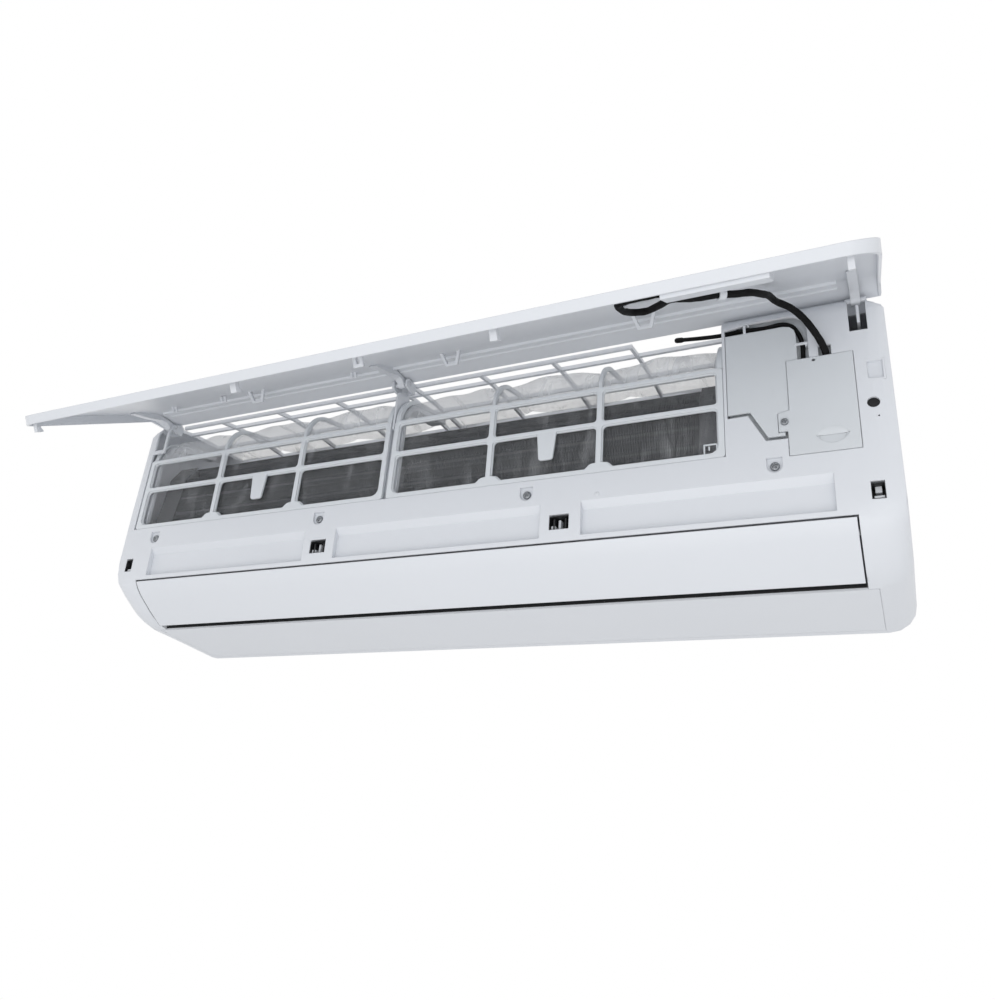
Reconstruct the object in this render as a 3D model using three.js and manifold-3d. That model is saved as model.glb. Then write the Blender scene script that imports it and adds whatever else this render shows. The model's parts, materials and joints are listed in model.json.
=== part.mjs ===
// Indoor unit of a split air conditioner, shown with its front panel swung open.
// Millimetres. X runs along the unit, -Y faces the room, Z is up.
// The origin is on the wall, at the middle of the wall plate's back face.
import * as THREE from "three";
import { mergeVertices } from "three/addons/utils/BufferGeometryUtils.js";
import Module from "manifold-3d";

const wasm = await Module();
wasm.setup();

// ---------------------------------------------------------------- driving dimensions
// Casing
const unitWidth = 845;
const bezelDepth = 167; // wall to the flat front of the casing
const caseTop = 137; // height of the casing's top above the origin
const caseBottom = 138; // depth of the casing's bottom below the origin
const skin = 2.4; // wall of the moulded covers
const cornerRadius = 25; // rounding of the casing's ends, seen from the front
const gap = 0.3; // between pieces that touch
const outletTop = 86.3; // the louver opening's upper edge, below the origin
const lipDepth = 103.8; // the outlet's lower lip, out from the wall
const lipDrop = 129; // the outlet's lower lip, below the origin
const outletHalf = 386.5; // half the length of the louver opening

// Filters and the window in front of them
const windowLeft = 409.5; // left edge of the filter window
const filterBottom = 22; // lower edge of the filters, below the origin
const filterLength = 344; // each filter's length along X
const filterSplit = 61; // X of the strip between the filters is -filterSplit
const splitWidth = 5; // strip between the filters
const frameThick = 6; // filter frame, front to back
const barWidth = 8; // filter frame's bars
const frameRadius = 40; // bend at the top of the filters
const frameStraight = 90; // height of the filter's flat front
const frameTail = 64; // length of the filter's upper run, over the coil
const frameSlope = 14; // rise of the upper run, degrees
const filterLift = 4; // lift that frees a filter's lower edge

// Front panel
const panelBottom = 78; // lower edge when closed, below the origin
const panelProud = 12; // closed panel's face in front of the bezel, at its lower edge
const panelCrown = 3.4; // how far the face bulges between its edges
const panelSkin = 2.6;
const panelLip = 1; // thickness the skin tapers to at the hinge
const panelRim = 2.4; // gap left between the rim and the bezel
const hingeZ = 118.2; // the panel's pivot, above the origin
const hingeInset = 8.1; // the pivot, behind the bezel
const openAngle = 60.7; // degrees
const hingeX = 401; // of the two outer arms
const pinRadius = 2.5;
const pinClearance = 0.4;

// Latches
const latchLine = 68; // latch slots, below the origin
const latchEndX = 402.7;
const latchMidX = 134.2;

// Air path
const fanRadius = 42;
const fanY = 72; // fan axis, out from the wall
const fanZ = 22; // fan axis, below the origin
const fanLeft = 372;
const fanRight = 262;
const coilLeft = 376;
const coilRight = 262;
const coilDepth = 24; // thickness of each fin pack
const sheet = 1.2; // tube sheets
const tubeRadius = 3.5;

// Electrical box
const boxLeft = 290;
const boxRight = 392;
const coverThick = 2.2;

// ---------------------------------------------------------------- derived places
const half = unitWidth / 2;
const frontY = -bezelDepth;
const lipY = -lipDepth;
const panelPivot = new THREE.Vector3(0, frontY + hingeInset, hingeZ);
const filterBack = frontY + 0.5 + frameThick;
const railSlope = Math.tan(THREE.MathUtils.degToRad(frameSlope));

// ---------------------------------------------------------------- solids
function solid(geometry) {
  const bare = geometry.index ? geometry.toNonIndexed() : geometry.clone();
  bare.deleteAttribute("normal");
  bare.deleteAttribute("uv");
  const merged = mergeVertices(bare, 1e-4);
  return new wasm.Manifold(
    new wasm.Mesh({
      numProp: 3,
      vertProperties: merged.attributes.position.array,
      triVerts: new Uint32Array(merged.index.array),
    }),
  );
}

function surface(body) {
  const mesh = body.getMesh();
  const geometry = new THREE.BufferGeometry();
  geometry.setAttribute("position", new THREE.BufferAttribute(new Float32Array(mesh.vertProperties), 3));
  geometry.setIndex(new THREE.BufferAttribute(new Uint32Array(mesh.triVerts), 1));
  geometry.computeVertexNormals();
  return geometry;
}

function join(...bodies) {
  return bodies.reduce((sum, body) => sum.add(body));
}

function cut(body, ...tools) {
  return tools.reduce((rest, tool) => rest.subtract(tool), body);
}

function block(x, y, z) {
  const box = new THREE.BoxGeometry(x[1] - x[0], y[1] - y[0], z[1] - z[0]);
  box.translate((x[0] + x[1]) / 2, (y[0] + y[1]) / 2, (z[0] + z[1]) / 2);
  return solid(box);
}

function outline(points) {
  const area = THREE.ShapeUtils.area(points.map(([a, b]) => new THREE.Vector2(a, b)));
  const turned = area < 0 ? [...points].reverse() : points;
  return new THREE.Shape(turned.map(([a, b]) => new THREE.Vector2(a, b)));
}

// A prism along X over an outline of [y, z] points.
function prismX(points, x) {
  const shape = new THREE.ExtrudeGeometry(outline(points), { depth: x[1] - x[0], bevelEnabled: false });
  const basis = new THREE.Matrix4().makeBasis(
    new THREE.Vector3(0, 1, 0),
    new THREE.Vector3(0, 0, 1),
    new THREE.Vector3(1, 0, 0),
  );
  shape.applyMatrix4(basis);
  shape.translate(x[0], 0, 0);
  return solid(shape);
}

// A prism along Y over an outline of [x, z] points.
function prismY(points, y) {
  const shape = new THREE.ExtrudeGeometry(outline(points), { depth: y[1] - y[0], bevelEnabled: false });
  shape.rotateX(Math.PI / 2);
  shape.translate(0, y[1], 0);
  return solid(shape);
}

function rod(from, to, radius, sides = 12) {
  const a = new THREE.Vector3(...from);
  const b = new THREE.Vector3(...to);
  const cylinder = new THREE.CylinderGeometry(radius, radius, a.distanceTo(b), sides);
  const turn = new THREE.Quaternion().setFromUnitVectors(
    new THREE.Vector3(0, 1, 0),
    b.clone().sub(a).normalize(),
  );
  cylinder.applyQuaternion(turn);
  cylinder.translate(...a.add(b).multiplyScalar(0.5).toArray());
  return solid(cylinder);
}

// Points on a circular arc in a plane, from one angle to another, in degrees.
function arc(a, b, radius, from, to, steps) {
  return Array.from({ length: steps + 1 }, (_, i) => {
    const angle = THREE.MathUtils.degToRad(from + ((to - from) * i) / steps);
    return [a + radius * Math.cos(angle), b + radius * Math.sin(angle)];
  });
}

// A rectangle of [a, b] points with round corners.
function roundedBox(a, b, radius, steps = 3) {
  return [
    ...arc(a[1] - radius, b[1] - radius, radius, 0, 90, steps),
    ...arc(a[0] + radius, b[1] - radius, radius, 90, 180, steps),
    ...arc(a[0] + radius, b[0] + radius, radius, 180, 270, steps),
    ...arc(a[1] - radius, b[0] + radius, radius, 270, 360, steps),
  ];
}

// A curve that visits its points at equal steps of u, whatever their spacing.
class Stations extends THREE.Curve {
  constructor(points) {
    super();
    this.points = points;
  }
  getPoint(u, target = new THREE.Vector3()) {
    const last = this.points.length - 1;
    const at = Math.min(u, 1) * last;
    const low = Math.min(Math.floor(at), last - 1);
    return target.copy(this.points[low]).lerp(this.points[low + 1], at - low);
  }
  getPointAt(u, target) {
    return this.getPoint(u, target);
  }
  getTangentAt(u, target = new THREE.Vector3()) {
    const step = 1 / (this.points.length - 1);
    const after = this.getPoint(Math.min(u + step, 1));
    return target.copy(after.sub(this.getPoint(Math.max(u - step, 0)))).normalize();
  }
}

function tube(points, radius, sides = 8) {
  const ring = new THREE.Shape(
    arc(0, 0, radius, 0, 360 - 360 / sides, sides - 1).map(([a, b]) => new THREE.Vector2(a, b)),
  );
  const path = new Stations(points);
  return new THREE.ExtrudeGeometry(ring, { steps: points.length - 1, extrudePath: path });
}

// Stations along straight runs joined by round bends.
function bentRoute(corners, bend, steps = 4) {
  const points = [corners[0].clone()];
  for (let i = 1; i < corners.length - 1; i++) {
    const here = corners[i];
    const into = corners[i - 1].clone().sub(here).normalize();
    const out = corners[i + 1].clone().sub(here).normalize();
    const start = here.clone().addScaledVector(into, bend);
    const end = here.clone().addScaledVector(out, bend);
    const curve = new THREE.QuadraticBezierCurve3(start, here, end);
    points.push(...curve.getPoints(steps));
  }
  points.push(corners[corners.length - 1].clone());
  return points;
}

// ---------------------------------------------------------------- materials
function finish(color, roughness, metalness = 0, extra = {}) {
  return new THREE.MeshStandardMaterial({ color, roughness, metalness, ...extra });
}
const finishes = {
  whitePlastic: finish(0xe6e9ee, 0.42),
  greyPlastic: finish(0xd2d6da, 0.5),
  blackPlastic: finish(0x18191b, 0.5),
  filterPlastic: finish(0xdfe2e6, 0.45),
  filterNet: finish(0xc9ccd0, 0.7),
  fins: finish(0x83868a, 0.4, 0.8),
  zincSteel: finish(0xa7abaf, 0.4, 0.9),
  copper: finish(0xb0714a, 0.3, 1),
  brass: finish(0xb99a54, 0.3, 1),
  fanPlastic: finish(0x3a3d40, 0.5),
  rubber: finish(0x1b1b1c, 0.8),
  board: finish(0x2f6b45, 0.6),
};

const unit = new THREE.Group();
const panelGroup = new THREE.Group();
panelGroup.position.copy(panelPivot);
panelGroup.rotation.x = THREE.MathUtils.degToRad(-openAngle);
unit.add(panelGroup);

function add(name, body, material, group = unit) {
  const geometry = body.isBufferGeometry ? body : surface(body);
  if (group === panelGroup) geometry.translate(-panelPivot.x, -panelPivot.y, -panelPivot.z);
  const mesh = new THREE.Mesh(geometry, material);
  mesh.name = name;
  group.add(mesh);
}

// ---------------------------------------------------------------- casing form
// Each point of the casing's section is [y, z, share of the end rounding it takes].
const sectionPoints = [
  [0, caseTop, 1],
  [-60, caseTop - 0.5, 1],
  [-112, caseTop - 4.5, 1],
  [frontY + 19, caseTop - 12, 0.9],
  [frontY + 10, caseTop - 15.5, 0.8],
  [frontY + 4, caseTop - 21, 0.6],
  [frontY + 1, caseTop - 26, 0.4],
  [frontY, caseTop - 33, 0.2],
  [frontY, 0, 0.12],
  [frontY, -outletTop + 24, 0.12],
  [frontY + 0.3, -outletTop + 10, 0.2],
  [frontY + 1, -outletTop - 1, 0.4],
  [frontY + 5.6, -outletTop - 8.3, 0.5],
  [frontY + 12.1, -outletTop - 14.7, 0.55],
  [frontY + 20.1, -outletTop - 20.7, 0.6],
  [frontY + 28.2, -outletTop - 26.7, 0.65],
  [frontY + 38.2, -outletTop - 33.5, 0.7],
  [(frontY + 50.1 + lipY - 1) / 2 - 5, -lipDrop + 3.4, 0.75],
  [lipY, -lipDrop, 0.8],
  [-60, -(lipDrop + caseBottom) / 2 + 0.8, 0.95],
  [0, -caseBottom, 1],
];

// The casing's form, shrunk inwards by inset and running back to backY.
function casingForm(inset, backY) {
  const count = sectionPoints.length;
  const normals = sectionPoints.map((_, i) => {
    const before = sectionPoints[Math.max(i - 1, 0)];
    const after = sectionPoints[Math.min(i + 1, count - 1)];
    return new THREE.Vector2(-(after[1] - before[1]), after[0] - before[0]).normalize();
  });
  const ends = [];
  const steps = 4;
  for (let k = 0; k <= steps; k++) {
    const angle = (k / steps) * (Math.PI / 2);
    ends.push({
      x: half - cornerRadius + (cornerRadius - inset) * Math.sin(angle),
      drop: inset + (cornerRadius - inset) * (1 - Math.cos(angle)),
    });
  }
  const stations = [...ends.map((e) => ({ x: -e.x, drop: e.drop })).reverse(), ...ends];
  const positions = [];
  for (const station of stations) {
    const ring = sectionPoints.map(([y, z, share], i) => {
      const move = inset + (station.drop - inset) * share;
      return [y + normals[i].x * move, z + normals[i].y * move];
    });
    ring[0][0] = backY;
    ring[count - 1][0] = backY;
    positions.push(ring.map(([y, z]) => new THREE.Vector3(station.x, y, z)));
  }
  const index = [];
  for (let s = 0; s < stations.length - 1; s++) {
    for (let i = 0; i < count; i++) {
      const j = (i + 1) % count;
      const [a, b] = [s * count + i, s * count + j];
      const [c, d] = [a + count, b + count];
      index.push(a, b, c, b, d, c);
    }
  }
  const last = (stations.length - 1) * count;
  const flat = positions[0].map((p) => new THREE.Vector2(p.y, p.z));
  for (const [a, b, c] of THREE.ShapeUtils.triangulateShape(flat, [])) {
    index.push(a, c, b);
    index.push(last + a, last + b, last + c);
  }
  const geometry = new THREE.BufferGeometry();
  geometry.setAttribute(
    "position",
    new THREE.Float32BufferAttribute(positions.flat().flatMap((p) => p.toArray()), 3),
  );
  geometry.setIndex(index);
  const made = solid(geometry);
  if (made.volume() > 0) return made;
  geometry.setIndex(index.map((_, i) => index[i - (i % 3) + 2 - (i % 3)]));
  return solid(geometry);
}

// The filter's path in the section: [y, z] at a distance inside the frame's mid line.
const filterMidY = frontY + 0.5 + frameThick / 2;
const bendCentre = [filterMidY + frameRadius, -filterBottom + frameStraight];
function filterPath(inside, tail = frameTail) {
  const radius = frameRadius - inside;
  const top = arc(bendCentre[0], bendCentre[1], radius, 180, 90 + frameSlope, 6);
  const end = top[top.length - 1];
  return [
    [filterMidY + inside, -filterBottom],
    ...top,
    [end[0] + tail, end[1] + tail * railSlope],
  ];
}

function filterBand(outer, inner, x, tail = frameTail) {
  return prismX([...filterPath(outer, tail), ...filterPath(inner, tail).reverse()], x);
}

// ---------------------------------------------------------------- front casing
const boxWindow = [
  [288.6, 14],
  [306, 14.3],
  [320, -12.2],
  [338, -12.4],
  [338, -29.2],
  [395, -29.2],
  [395, 63.2],
  [377.8, 63.2],
  [377.8, 73],
  [367.4, 73],
  [367.4, 63.2],
  [359.6, 63.2],
  ...arc(343, 92.5, 16.6, 0, 90, 4),
  [310, 109.1],
  [288.6, 106],
];
const guideSpans = [
  [-windowLeft - 2.5, -windowLeft + 9],
  [-filterSplit - 9, -filterSplit + 9],
  [-filterSplit + splitWidth / 2 + filterLength - 8, 288.2],
];
const shelfTop = -filterBottom - gap;
const shelfBack = frontY + 15;

function hingeSeat(x) {
  const side = [
    [panelPivot.y - 5.2, panelPivot.z - 5.6],
    [panelPivot.y - 5.6, panelPivot.z + 2],
    [panelPivot.y - 3, panelPivot.z + 4.6],
    [panelPivot.y + 4.5, panelPivot.z + 4.6],
    [panelPivot.y + 13, panelPivot.z + 5],
    [panelPivot.y + 13, panelPivot.z - 7.4],
    [panelPivot.y + 2, panelPivot.z - 8],
  ];
  const depth = [panelPivot.y + 10, panelPivot.y + 13];
  const back = block([x - 9.4, x + 9.4], depth, [panelPivot.z - 7.4, panelPivot.z + 5]);
  const ears = join(prismX(side, [x - 9.4, x - 7.2]), prismX(side, [x + 7.2, x + 9.4]), back);
  return cut(ears, rod([x - 12, panelPivot.y, panelPivot.z], [x + 12, panelPivot.y, panelPivot.z], pinRadius + pinClearance));
}

const slots = [
  { x: -latchEndX, w: 10.4, h: 15.4 },
  { x: -latchMidX, w: 19.2, h: 14.7 },
  { x: latchMidX, w: 19.2, h: 14.7 },
  { x: latchEndX, w: 10.4, h: 15.4 },
];
const pockets = [
  [-372, -153],
  [-114, 115],
  [155, 371],
];
const pocketDepth = 6;
const screwX = [-371.7, -138.9, 99.8, 325.7];
const screwZ = -36;
const buttonAt = [406.3, 11.2];
const pivotLouver = [frontY + 14.5, -outletTop - 10.2];
const louverSweep = 16.2; // radius swept by the louver's upper edge, with its clearance

function frontCasing() {
  let shell = cut(casingForm(0, -0.6), casingForm(skin, 5));
  // filter window, carried over the top for the inlet grille
  const filterRight = -filterSplit + splitWidth / 2 + filterLength + 0.4;
  shell = cut(
    shell,
    prismY(
      [
        [-windowLeft, shelfTop],
        [filterRight, shelfTop],
        [filterRight, caseTop + 20],
        [-391, caseTop + 20],
        [-391, 78],
        [-windowLeft, 78],
      ],
      [frontY - 2, frontY + 20],
    ),
    block([-windowLeft + 4, filterRight], [frontY + 18, -22], [60, caseTop + 20]),
    prismY(boxWindow, [frontY - 2, frontY + 8]),
  );
  // shelf under the filters, guide ribs behind them and the wall beside the electrical box
  const shelf = block([-windowLeft - 2, 288.2], [frontY + 1, shelfBack], [shelfTop - skin, shelfTop]);
  const ribs = guideSpans.map((x) =>
    join(
      filterBand(frameThick / 2 + 1.6, frameThick / 2 + 6.4, x, frameTail - 6),
      block(x, [filterMidY + frameThick / 2 + 1.6, filterMidY + frameThick / 2 + 6.4], [shelfTop - skin, 0]),
    ),
  );
  const boxWall = prismX(
    [
      [frontY + 1, -filterBottom - 1],
      [frontY + 1, 104],
      [frontY + 19, 104],
      [frontY + 15, 60],
      [frontY + 15, -filterBottom - 1],
    ],
    [filterRight + 0.4, 288.2],
  );
  const web = prismX(
    [
      [filterMidY + frameThick / 2 + 4, 60],
      [frontY + 1.5, 60],
      [frontY + 1.5, 100],
      [frontY + 4, 106],
      [panelPivot.y + 4, panelPivot.z - 8.5],
      [panelPivot.y + 12, panelPivot.z - 2],
      [panelPivot.y + 14, panelPivot.z - 7.4],
      [panelPivot.y + 22, panelPivot.z - 20],
    ],
    [-filterSplit - 1.2, -filterSplit + 1.2],
  );
  // pads that back the pockets, recesses and latch slots
  const pads = [
    ...pockets.map((x) => block([x[0] - skin, x[1] + skin], [frontY + 1, frontY + pocketDepth + skin], [-outletTop, -latchLine + 22])),
    ...screwX.map((x) => block([x - 9, x + 9], [frontY + 1, frontY + 8.8], [screwZ - 9, shelfTop - 1])),
    block([screwX[3] - 9, screwX[3] + 9], [frontY + 1, frontY + 6.4], [shelfTop - 2, shelfTop + 6.5]),
    block([402.6, 418], [frontY + 1, frontY + 5.4], [32, 52]),
  ];
  const walls = slots.map((s) =>
    block([s.x - s.w / 2 - 1.4, s.x + s.w / 2 + 1.4], [frontY + 1, frontY + 13.4], [-latchLine - s.h / 2 - 0.6, -latchLine + s.h / 2 + 2.2]),
  );
  const cheekSide = sectionPoints.slice(10, 19).map(([y, z]) => [y + 0.8, z + 0.8]);
  const cheekInner = [...cheekSide].reverse().map(([y, z]) => [y + 14, z + 15]);
  const cheekOutline = [...cheekSide, [lipY + 1.5, -lipDrop + 14], ...cheekInner.slice(2)];
  const cheeks = [-1, 1].map((side) => {
    const x = [outletHalf, outletHalf + skin].map((v) => side * v).sort((a, b) => a - b);
    return prismX(cheekOutline, x);
  });
  shell = join(shell, shelf, ...ribs, boxWall, web, ...pads, ...walls, ...cheeks);
  const within = casingForm(0.1, -0.6);
  const sideSeats = [-hingeX, hingeX].map((x) => hingeSeat(x).intersect(within));
  // openings through the front
  const tools = [
    ...slots.map((s) =>
      block([s.x - s.w / 2, s.x + s.w / 2], [frontY - 2, frontY + 14], [-latchLine - s.h / 2 + 0.8, -latchLine + s.h / 2 + 0.8]),
    ),
    ...pockets.map((x) =>
      prismX(
        [
          [frontY - 1, -latchLine + 19.5 + 1],
          [frontY + pocketDepth, -latchLine + 12.5],
          [frontY + pocketDepth, -outletTop + 4.8],
          [frontY - 1, -outletTop + 4.8],
        ],
        x,
      ),
    ),
    ...screwX.map((x) =>
      prismY([...arc(x, screwZ, 6.5, 180, 360, 8), [x + 6.5, screwZ + 7.5], [x - 6.5, screwZ + 7.5]], [frontY - 2, frontY + 3]),
    ),
    ...screwX.map((x) => rod([x, frontY - 1, screwZ], [x, frontY + 10, screwZ], 2.4, 8)),
    ...[-hingeX, hingeX].map((x) =>
      rod([x - 10, panelPivot.y, panelPivot.z], [x + 10, panelPivot.y, panelPivot.z], pinRadius + pinClearance, 12),
    ),
    block([404.4, 416.2], [frontY - 2, frontY + 3], [33.8, 50.3]),
    rod([buttonAt[0], frontY - 2, buttonAt[1]], [buttonAt[0], frontY + 8, buttonAt[1]], 5, 20),
    rod([409.2, frontY - 2, -1.8], [409.2, frontY + 8, -1.8], 0.8, 8),
    ...[-1, 1].map((side) => {
      const x = [393.8, 408.2].map((v) => side * v).sort((a, b) => a - b);
      return block(x, [frontY - 2, panelPivot.y + 10], [82.5, panelPivot.z + 9]);
    }),
    rod([-outletHalf, ...pivotLouver], [outletHalf, ...pivotLouver], louverSweep, 24),
    block([-outletHalf, outletHalf], [frontY - 8, lipY], [-caseBottom - 10, -outletTop]),
    block([-395, 395], [lipY - 1, -8], [-caseBottom - 10, -lipDrop + 14]),
    ...[-1, 1].map((side) =>
      rod([side * (outletHalf - 2), ...pivotLouver], [side * (outletHalf + 6), ...pivotLouver], pinRadius + pinClearance),
    ),
  ];
  return join(cut(shell, ...tools), ...sideSeats, hingeSeat(-filterSplit));
}
add("front_casing", frontCasing(), finishes.whitePlastic);


// ---------------------------------------------------------------- front panel, drawn closed
const panelFace = [
  [frontY - panelProud, -panelBottom],
  [frontY - panelProud - 2.4, -panelBottom + 38],
  [frontY - panelProud - panelCrown, -panelBottom + 98],
  [frontY - panelProud - 2.4, -panelBottom + 148],
  [frontY - panelProud, -panelBottom + 176],
  [frontY - 7.5, hingeZ - 6],
  [frontY - 1, hingeZ + 4],
  [frontY + 6.1, hingeZ + 11.5],
];
const rimEdge = frontY - panelRim;

function insetFace(distance) {
  return panelFace.map((point, i) => {
    const before = panelFace[Math.max(i - 1, 0)];
    const after = panelFace[Math.min(i + 1, panelFace.length - 1)];
    const along = new THREE.Vector2(after[0] - before[0], after[1] - before[1]).normalize();
    return [point[0] + along.y * distance, point[1] - along.x * distance];
  });
}

function hingeArm(x) {
  const [y, z] = [panelPivot.y, panelPivot.z];
  const side = [
    [y - 20.7, z - 54],
    [y - 18.5, z - 57],
    [y - 12.1, z - 32],
    [y - 9.3, z - 14],
    [y - 6.9, z - 7.8],
    [y - 1.6, z - 4],
    [y, z + 3.8],
    [y - 3.1, z + 3.3],
    [y - 7.6, z - 2],
    [y - 13.1, z - 11.7],
    [y - 18.5, z - 20],
  ];
  return join(
    prismX(side, [x - 4, x + 4]),
    rod([x - 4, y, z], [x + 4, y, z], 4.4),
    rod([x - 9, y, z], [x + 9, y, z], pinRadius),
  );
}

function hoop(x) {
  const face = frontY - panelProud - 0.4;
  const outer = [
    [x - 12, 0],
    [x - 6.8, 15],
    [x + 6.8, 15],
    [x + 12, 0],
  ];
  const inner = [
    [x - 9, -1],
    [x - 4.4, 12.2],
    [x + 4.4, 12.2],
    [x + 9, -1],
  ];
  const bar = cut(prismY(outer, [0, 3]), prismY(inner, [-1, 4]));
  // stands out of the skin: its own height becomes depth
  return bar.transform([1, 0, 0, 0, 0, 0, 1, 0, 0, 1, 0, 0, 0, face, 76, 1]);
}

function frontPanel() {
  const top = panelFace[panelFace.length - 1];
  const lip = insetFace(panelLip)[panelFace.length - 1];
  const outerSide = [...panelFace, lip, [rimEdge, hingeZ - 8], [rimEdge, -panelBottom]];
  const inner = insetFace(panelSkin);
  const innerSide = [
    [inner[0][0], -panelBottom + panelSkin],
    ...inner.slice(1, -1),
    lip,
    [rimEdge + 12, top[1] + 2],
    [rimEdge + 12, -panelBottom + panelSkin],
  ];
  const front = roundedBox([-half, half], [-panelBottom, top[1] + 20], cornerRadius, 4);
  const inside = roundedBox(
    [-half + panelSkin, half - panelSkin],
    [-panelBottom + panelSkin, top[1] + 20],
    cornerRadius - panelSkin,
    4,
  );
  const depth = [frontY - 30, frontY + 12];
  const skinBody = prismX(outerSide, [-half, half]).intersect(prismY(front, depth));
  const hollow = prismX(innerSide, [-half, half]).intersect(prismY(inside, depth));
  const hooks = slots.map((s) => {
    const w = Math.abs(s.x) > 300 ? 2.4 : 3.4;
    const side = [
      [frontY - panelProud + 1, -latchLine - 2.5],
      [frontY + 6, -latchLine - 2.5],
      [frontY + 6, -latchLine + 4.6],
      [frontY + 4.4, -latchLine + 4.6],
      [frontY + 1.5, -latchLine + 2.6],
      [frontY - panelProud + 1, -latchLine + 2.6],
    ];
    return prismX(side, [s.x - w, s.x + w]);
  });
  const tab = cut(
    block([-5, 5], [frontY - panelProud + 1, frontY + 4.6], [-63.4, -60.8]),
    block([-1.6, 1.6], [frontY - 6, frontY + 1.5], [-70, -50]),
  );
  const arms = [-hingeX, -filterSplit, hingeX].map(hingeArm);
  const hoops = [-226, 22, 223].map(hoop);
  return join(cut(skinBody, hollow), ...hooks, tab, ...arms, ...hoops);
}
add("front_panel", frontPanel(), finishes.whitePlastic, panelGroup);

const displayX = [272, 350];
const displayY = [frontY - panelProud + 2.75, frontY + 1];
const displayBody = join(
  prismX(
    [
      [displayY[0], -panelBottom + 3],
      [displayY[1], -panelBottom + 3],
      [displayY[1], -panelBottom + 26],
      [displayY[1] - 2, -panelBottom + 28],
      [displayY[0], -panelBottom + 28],
    ],
    displayX,
  ),
  block([displayX[1] - 1, displayX[1] + 6], [displayY[0] + 1, displayY[0] + 4], [-70, -58]),
);
add("display_box", displayBody, finishes.whitePlastic, panelGroup);

// ---------------------------------------------------------------- filters
const frontRows = [
  [-17, 26],
  [32, 62.5],
];
const upperRow = [68, 150];

function filterFrame(x, columns) {
  const edge = 6;
  const bounds = [x[0] + edge, ...columns.flatMap((c) => [c - 3.5, c + 3.5]), x[1] - edge];
  const body = filterBand(-frameThick / 2, frameThick / 2, x);
  const tools = [];
  for (let i = 0; i < bounds.length; i += 2) {
    const cell = [bounds[i], bounds[i + 1]];
    for (const row of frontRows) tools.push(block(cell, [frontY - 5, frontY + 12], row));
    tools.push(block([cell[0] - 1, cell[1] + 1], [frontY - 5, -76], upperRow));
  }
  if (x[0] < -400) tools.push(block([x[0] - 1, -390.5], [frontY - 5, frontY + 3.1], [73.5, 93]));
  // a finger tongue in the middle cell, and a low foot under each column
  const grip = (columns[0] + columns[1]) / 2 + 3.5;
  const tongue = [
    [grip - 10, 26.5],
    [grip - 7.5, 2],
    [grip - 4.5, -1.5],
    [grip + 4.5, -1.5],
    [grip + 7.5, 2],
    [grip + 10, 26.5],
  ];
  const feet = columns.map((c) =>
    prismY(
      [
        [c - 14, -17.5],
        [c - 8, -13.1],
        [c + 8, -13.1],
        [c + 14, -17.5],
      ],
      [frontY + 0.5, frontY + 0.5 + frameThick],
    ),
  );
  return join(cut(body, ...tools), prismY(tongue, [frontY + 0.5, frontY + 3.5]), ...feet);
}

function filterNet(x) {
  const band = filterBand(frameThick / 2 + gap, frameThick / 2 + gap + 0.7, [x[0] + 2, x[1] - 2]);
  const columns = 9;
  const pitch = (x[1] - x[0] - 12) / columns;
  const tools = [];
  for (let i = 0; i < columns; i++) {
    const cell = [x[0] + 6 + i * pitch + 1.5, x[0] + 6 + (i + 1) * pitch - 1.5];
    for (let j = 0; j < 3; j++) {
      const low = -filterBottom + 4 + j * 28;
      tools.push(block(cell, [frontY, frontY + 12], [low, low + 25]));
    }
    for (let j = 0; j < 2; j++) {
      const rear = -74 - j * 30;
      tools.push(block(cell, [rear - 27, rear], [80, 150]));
    }
  }
  return cut(band, ...tools);
}

const leftFilter = [-filterSplit - splitWidth / 2 - filterLength, -filterSplit - splitWidth / 2];
const rightFilter = [-filterSplit + splitWidth / 2, -filterSplit + splitWidth / 2 + filterLength];
add("filter_left_frame", filterFrame(leftFilter, [-293, -178]), finishes.filterPlastic);
add("filter_left_mesh", filterNet(leftFilter), finishes.filterNet);
add("filter_right_frame", filterFrame(rightFilter, [57, 170]), finishes.filterPlastic);
add("filter_right_mesh", filterNet(rightFilter), finishes.filterNet);

// ---------------------------------------------------------------- coil
const slabs = [
  [
    [-149.3, -43],
    [-124.5, -46],
    [-113, 50],
    [-137.8, 53],
  ],
  [
    [-112.5, 51],
    [-64, 79],
    [-76, 99.8],
    [-124.5, 71.8],
  ],
  [
    [-39.7, 27.6],
    [-63.4, 78.4],
    [-43.5, 87.7],
    [-19.8, 36.9],
  ],
];
const sheetOutline = [
  [-149.3, -43],
  [-137.8, 53],
  [-124.5, 71.8],
  [-76, 99.8],
  [-43.5, 87.7],
  [-19.8, 36.9],
  [-39.7, 27.6],
  [-63.7, 78.7],
  [-112.7, 50.5],
  [-124.5, -46],
];
const coilNames = ["evaporator_front", "evaporator_top", "evaporator_rear"];
slabs.forEach((slab, i) => {
  add(coilNames[i], prismX(slab, [coilLeft * -1 + sheet + gap, coilRight - sheet - gap]), finishes.fins);
});

// Centre of a tube in a slab: share of the way along it, and of the way across.
function tubePlace(slab, along, across) {
  const [a, b, c, d] = slab.map(([y, z]) => new THREE.Vector2(y, z));
  return a.lerp(d, along).lerp(b.lerp(c, along), across);
}

// Slabs run along their long side: the first from corner 0 to 3, the others from 0 to 1.
const runs = [slabs[0], [slabs[1][0], slabs[1][3], slabs[1][2], slabs[1][1]], [slabs[2][0], slabs[2][3], slabs[2][2], slabs[2][1]]];
const bendPlaces = [
  [0, 0.16, 0.36, 0.27],
  [0, 0.45, 0.65, 0.73],
  [0, 0.75, 0.93, 0.27],
  [1, 0.15, 0.45, 0.27],
  [1, 0.55, 0.85, 0.73],
  [2, 0.4, 0.7, 0.3],
];

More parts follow.
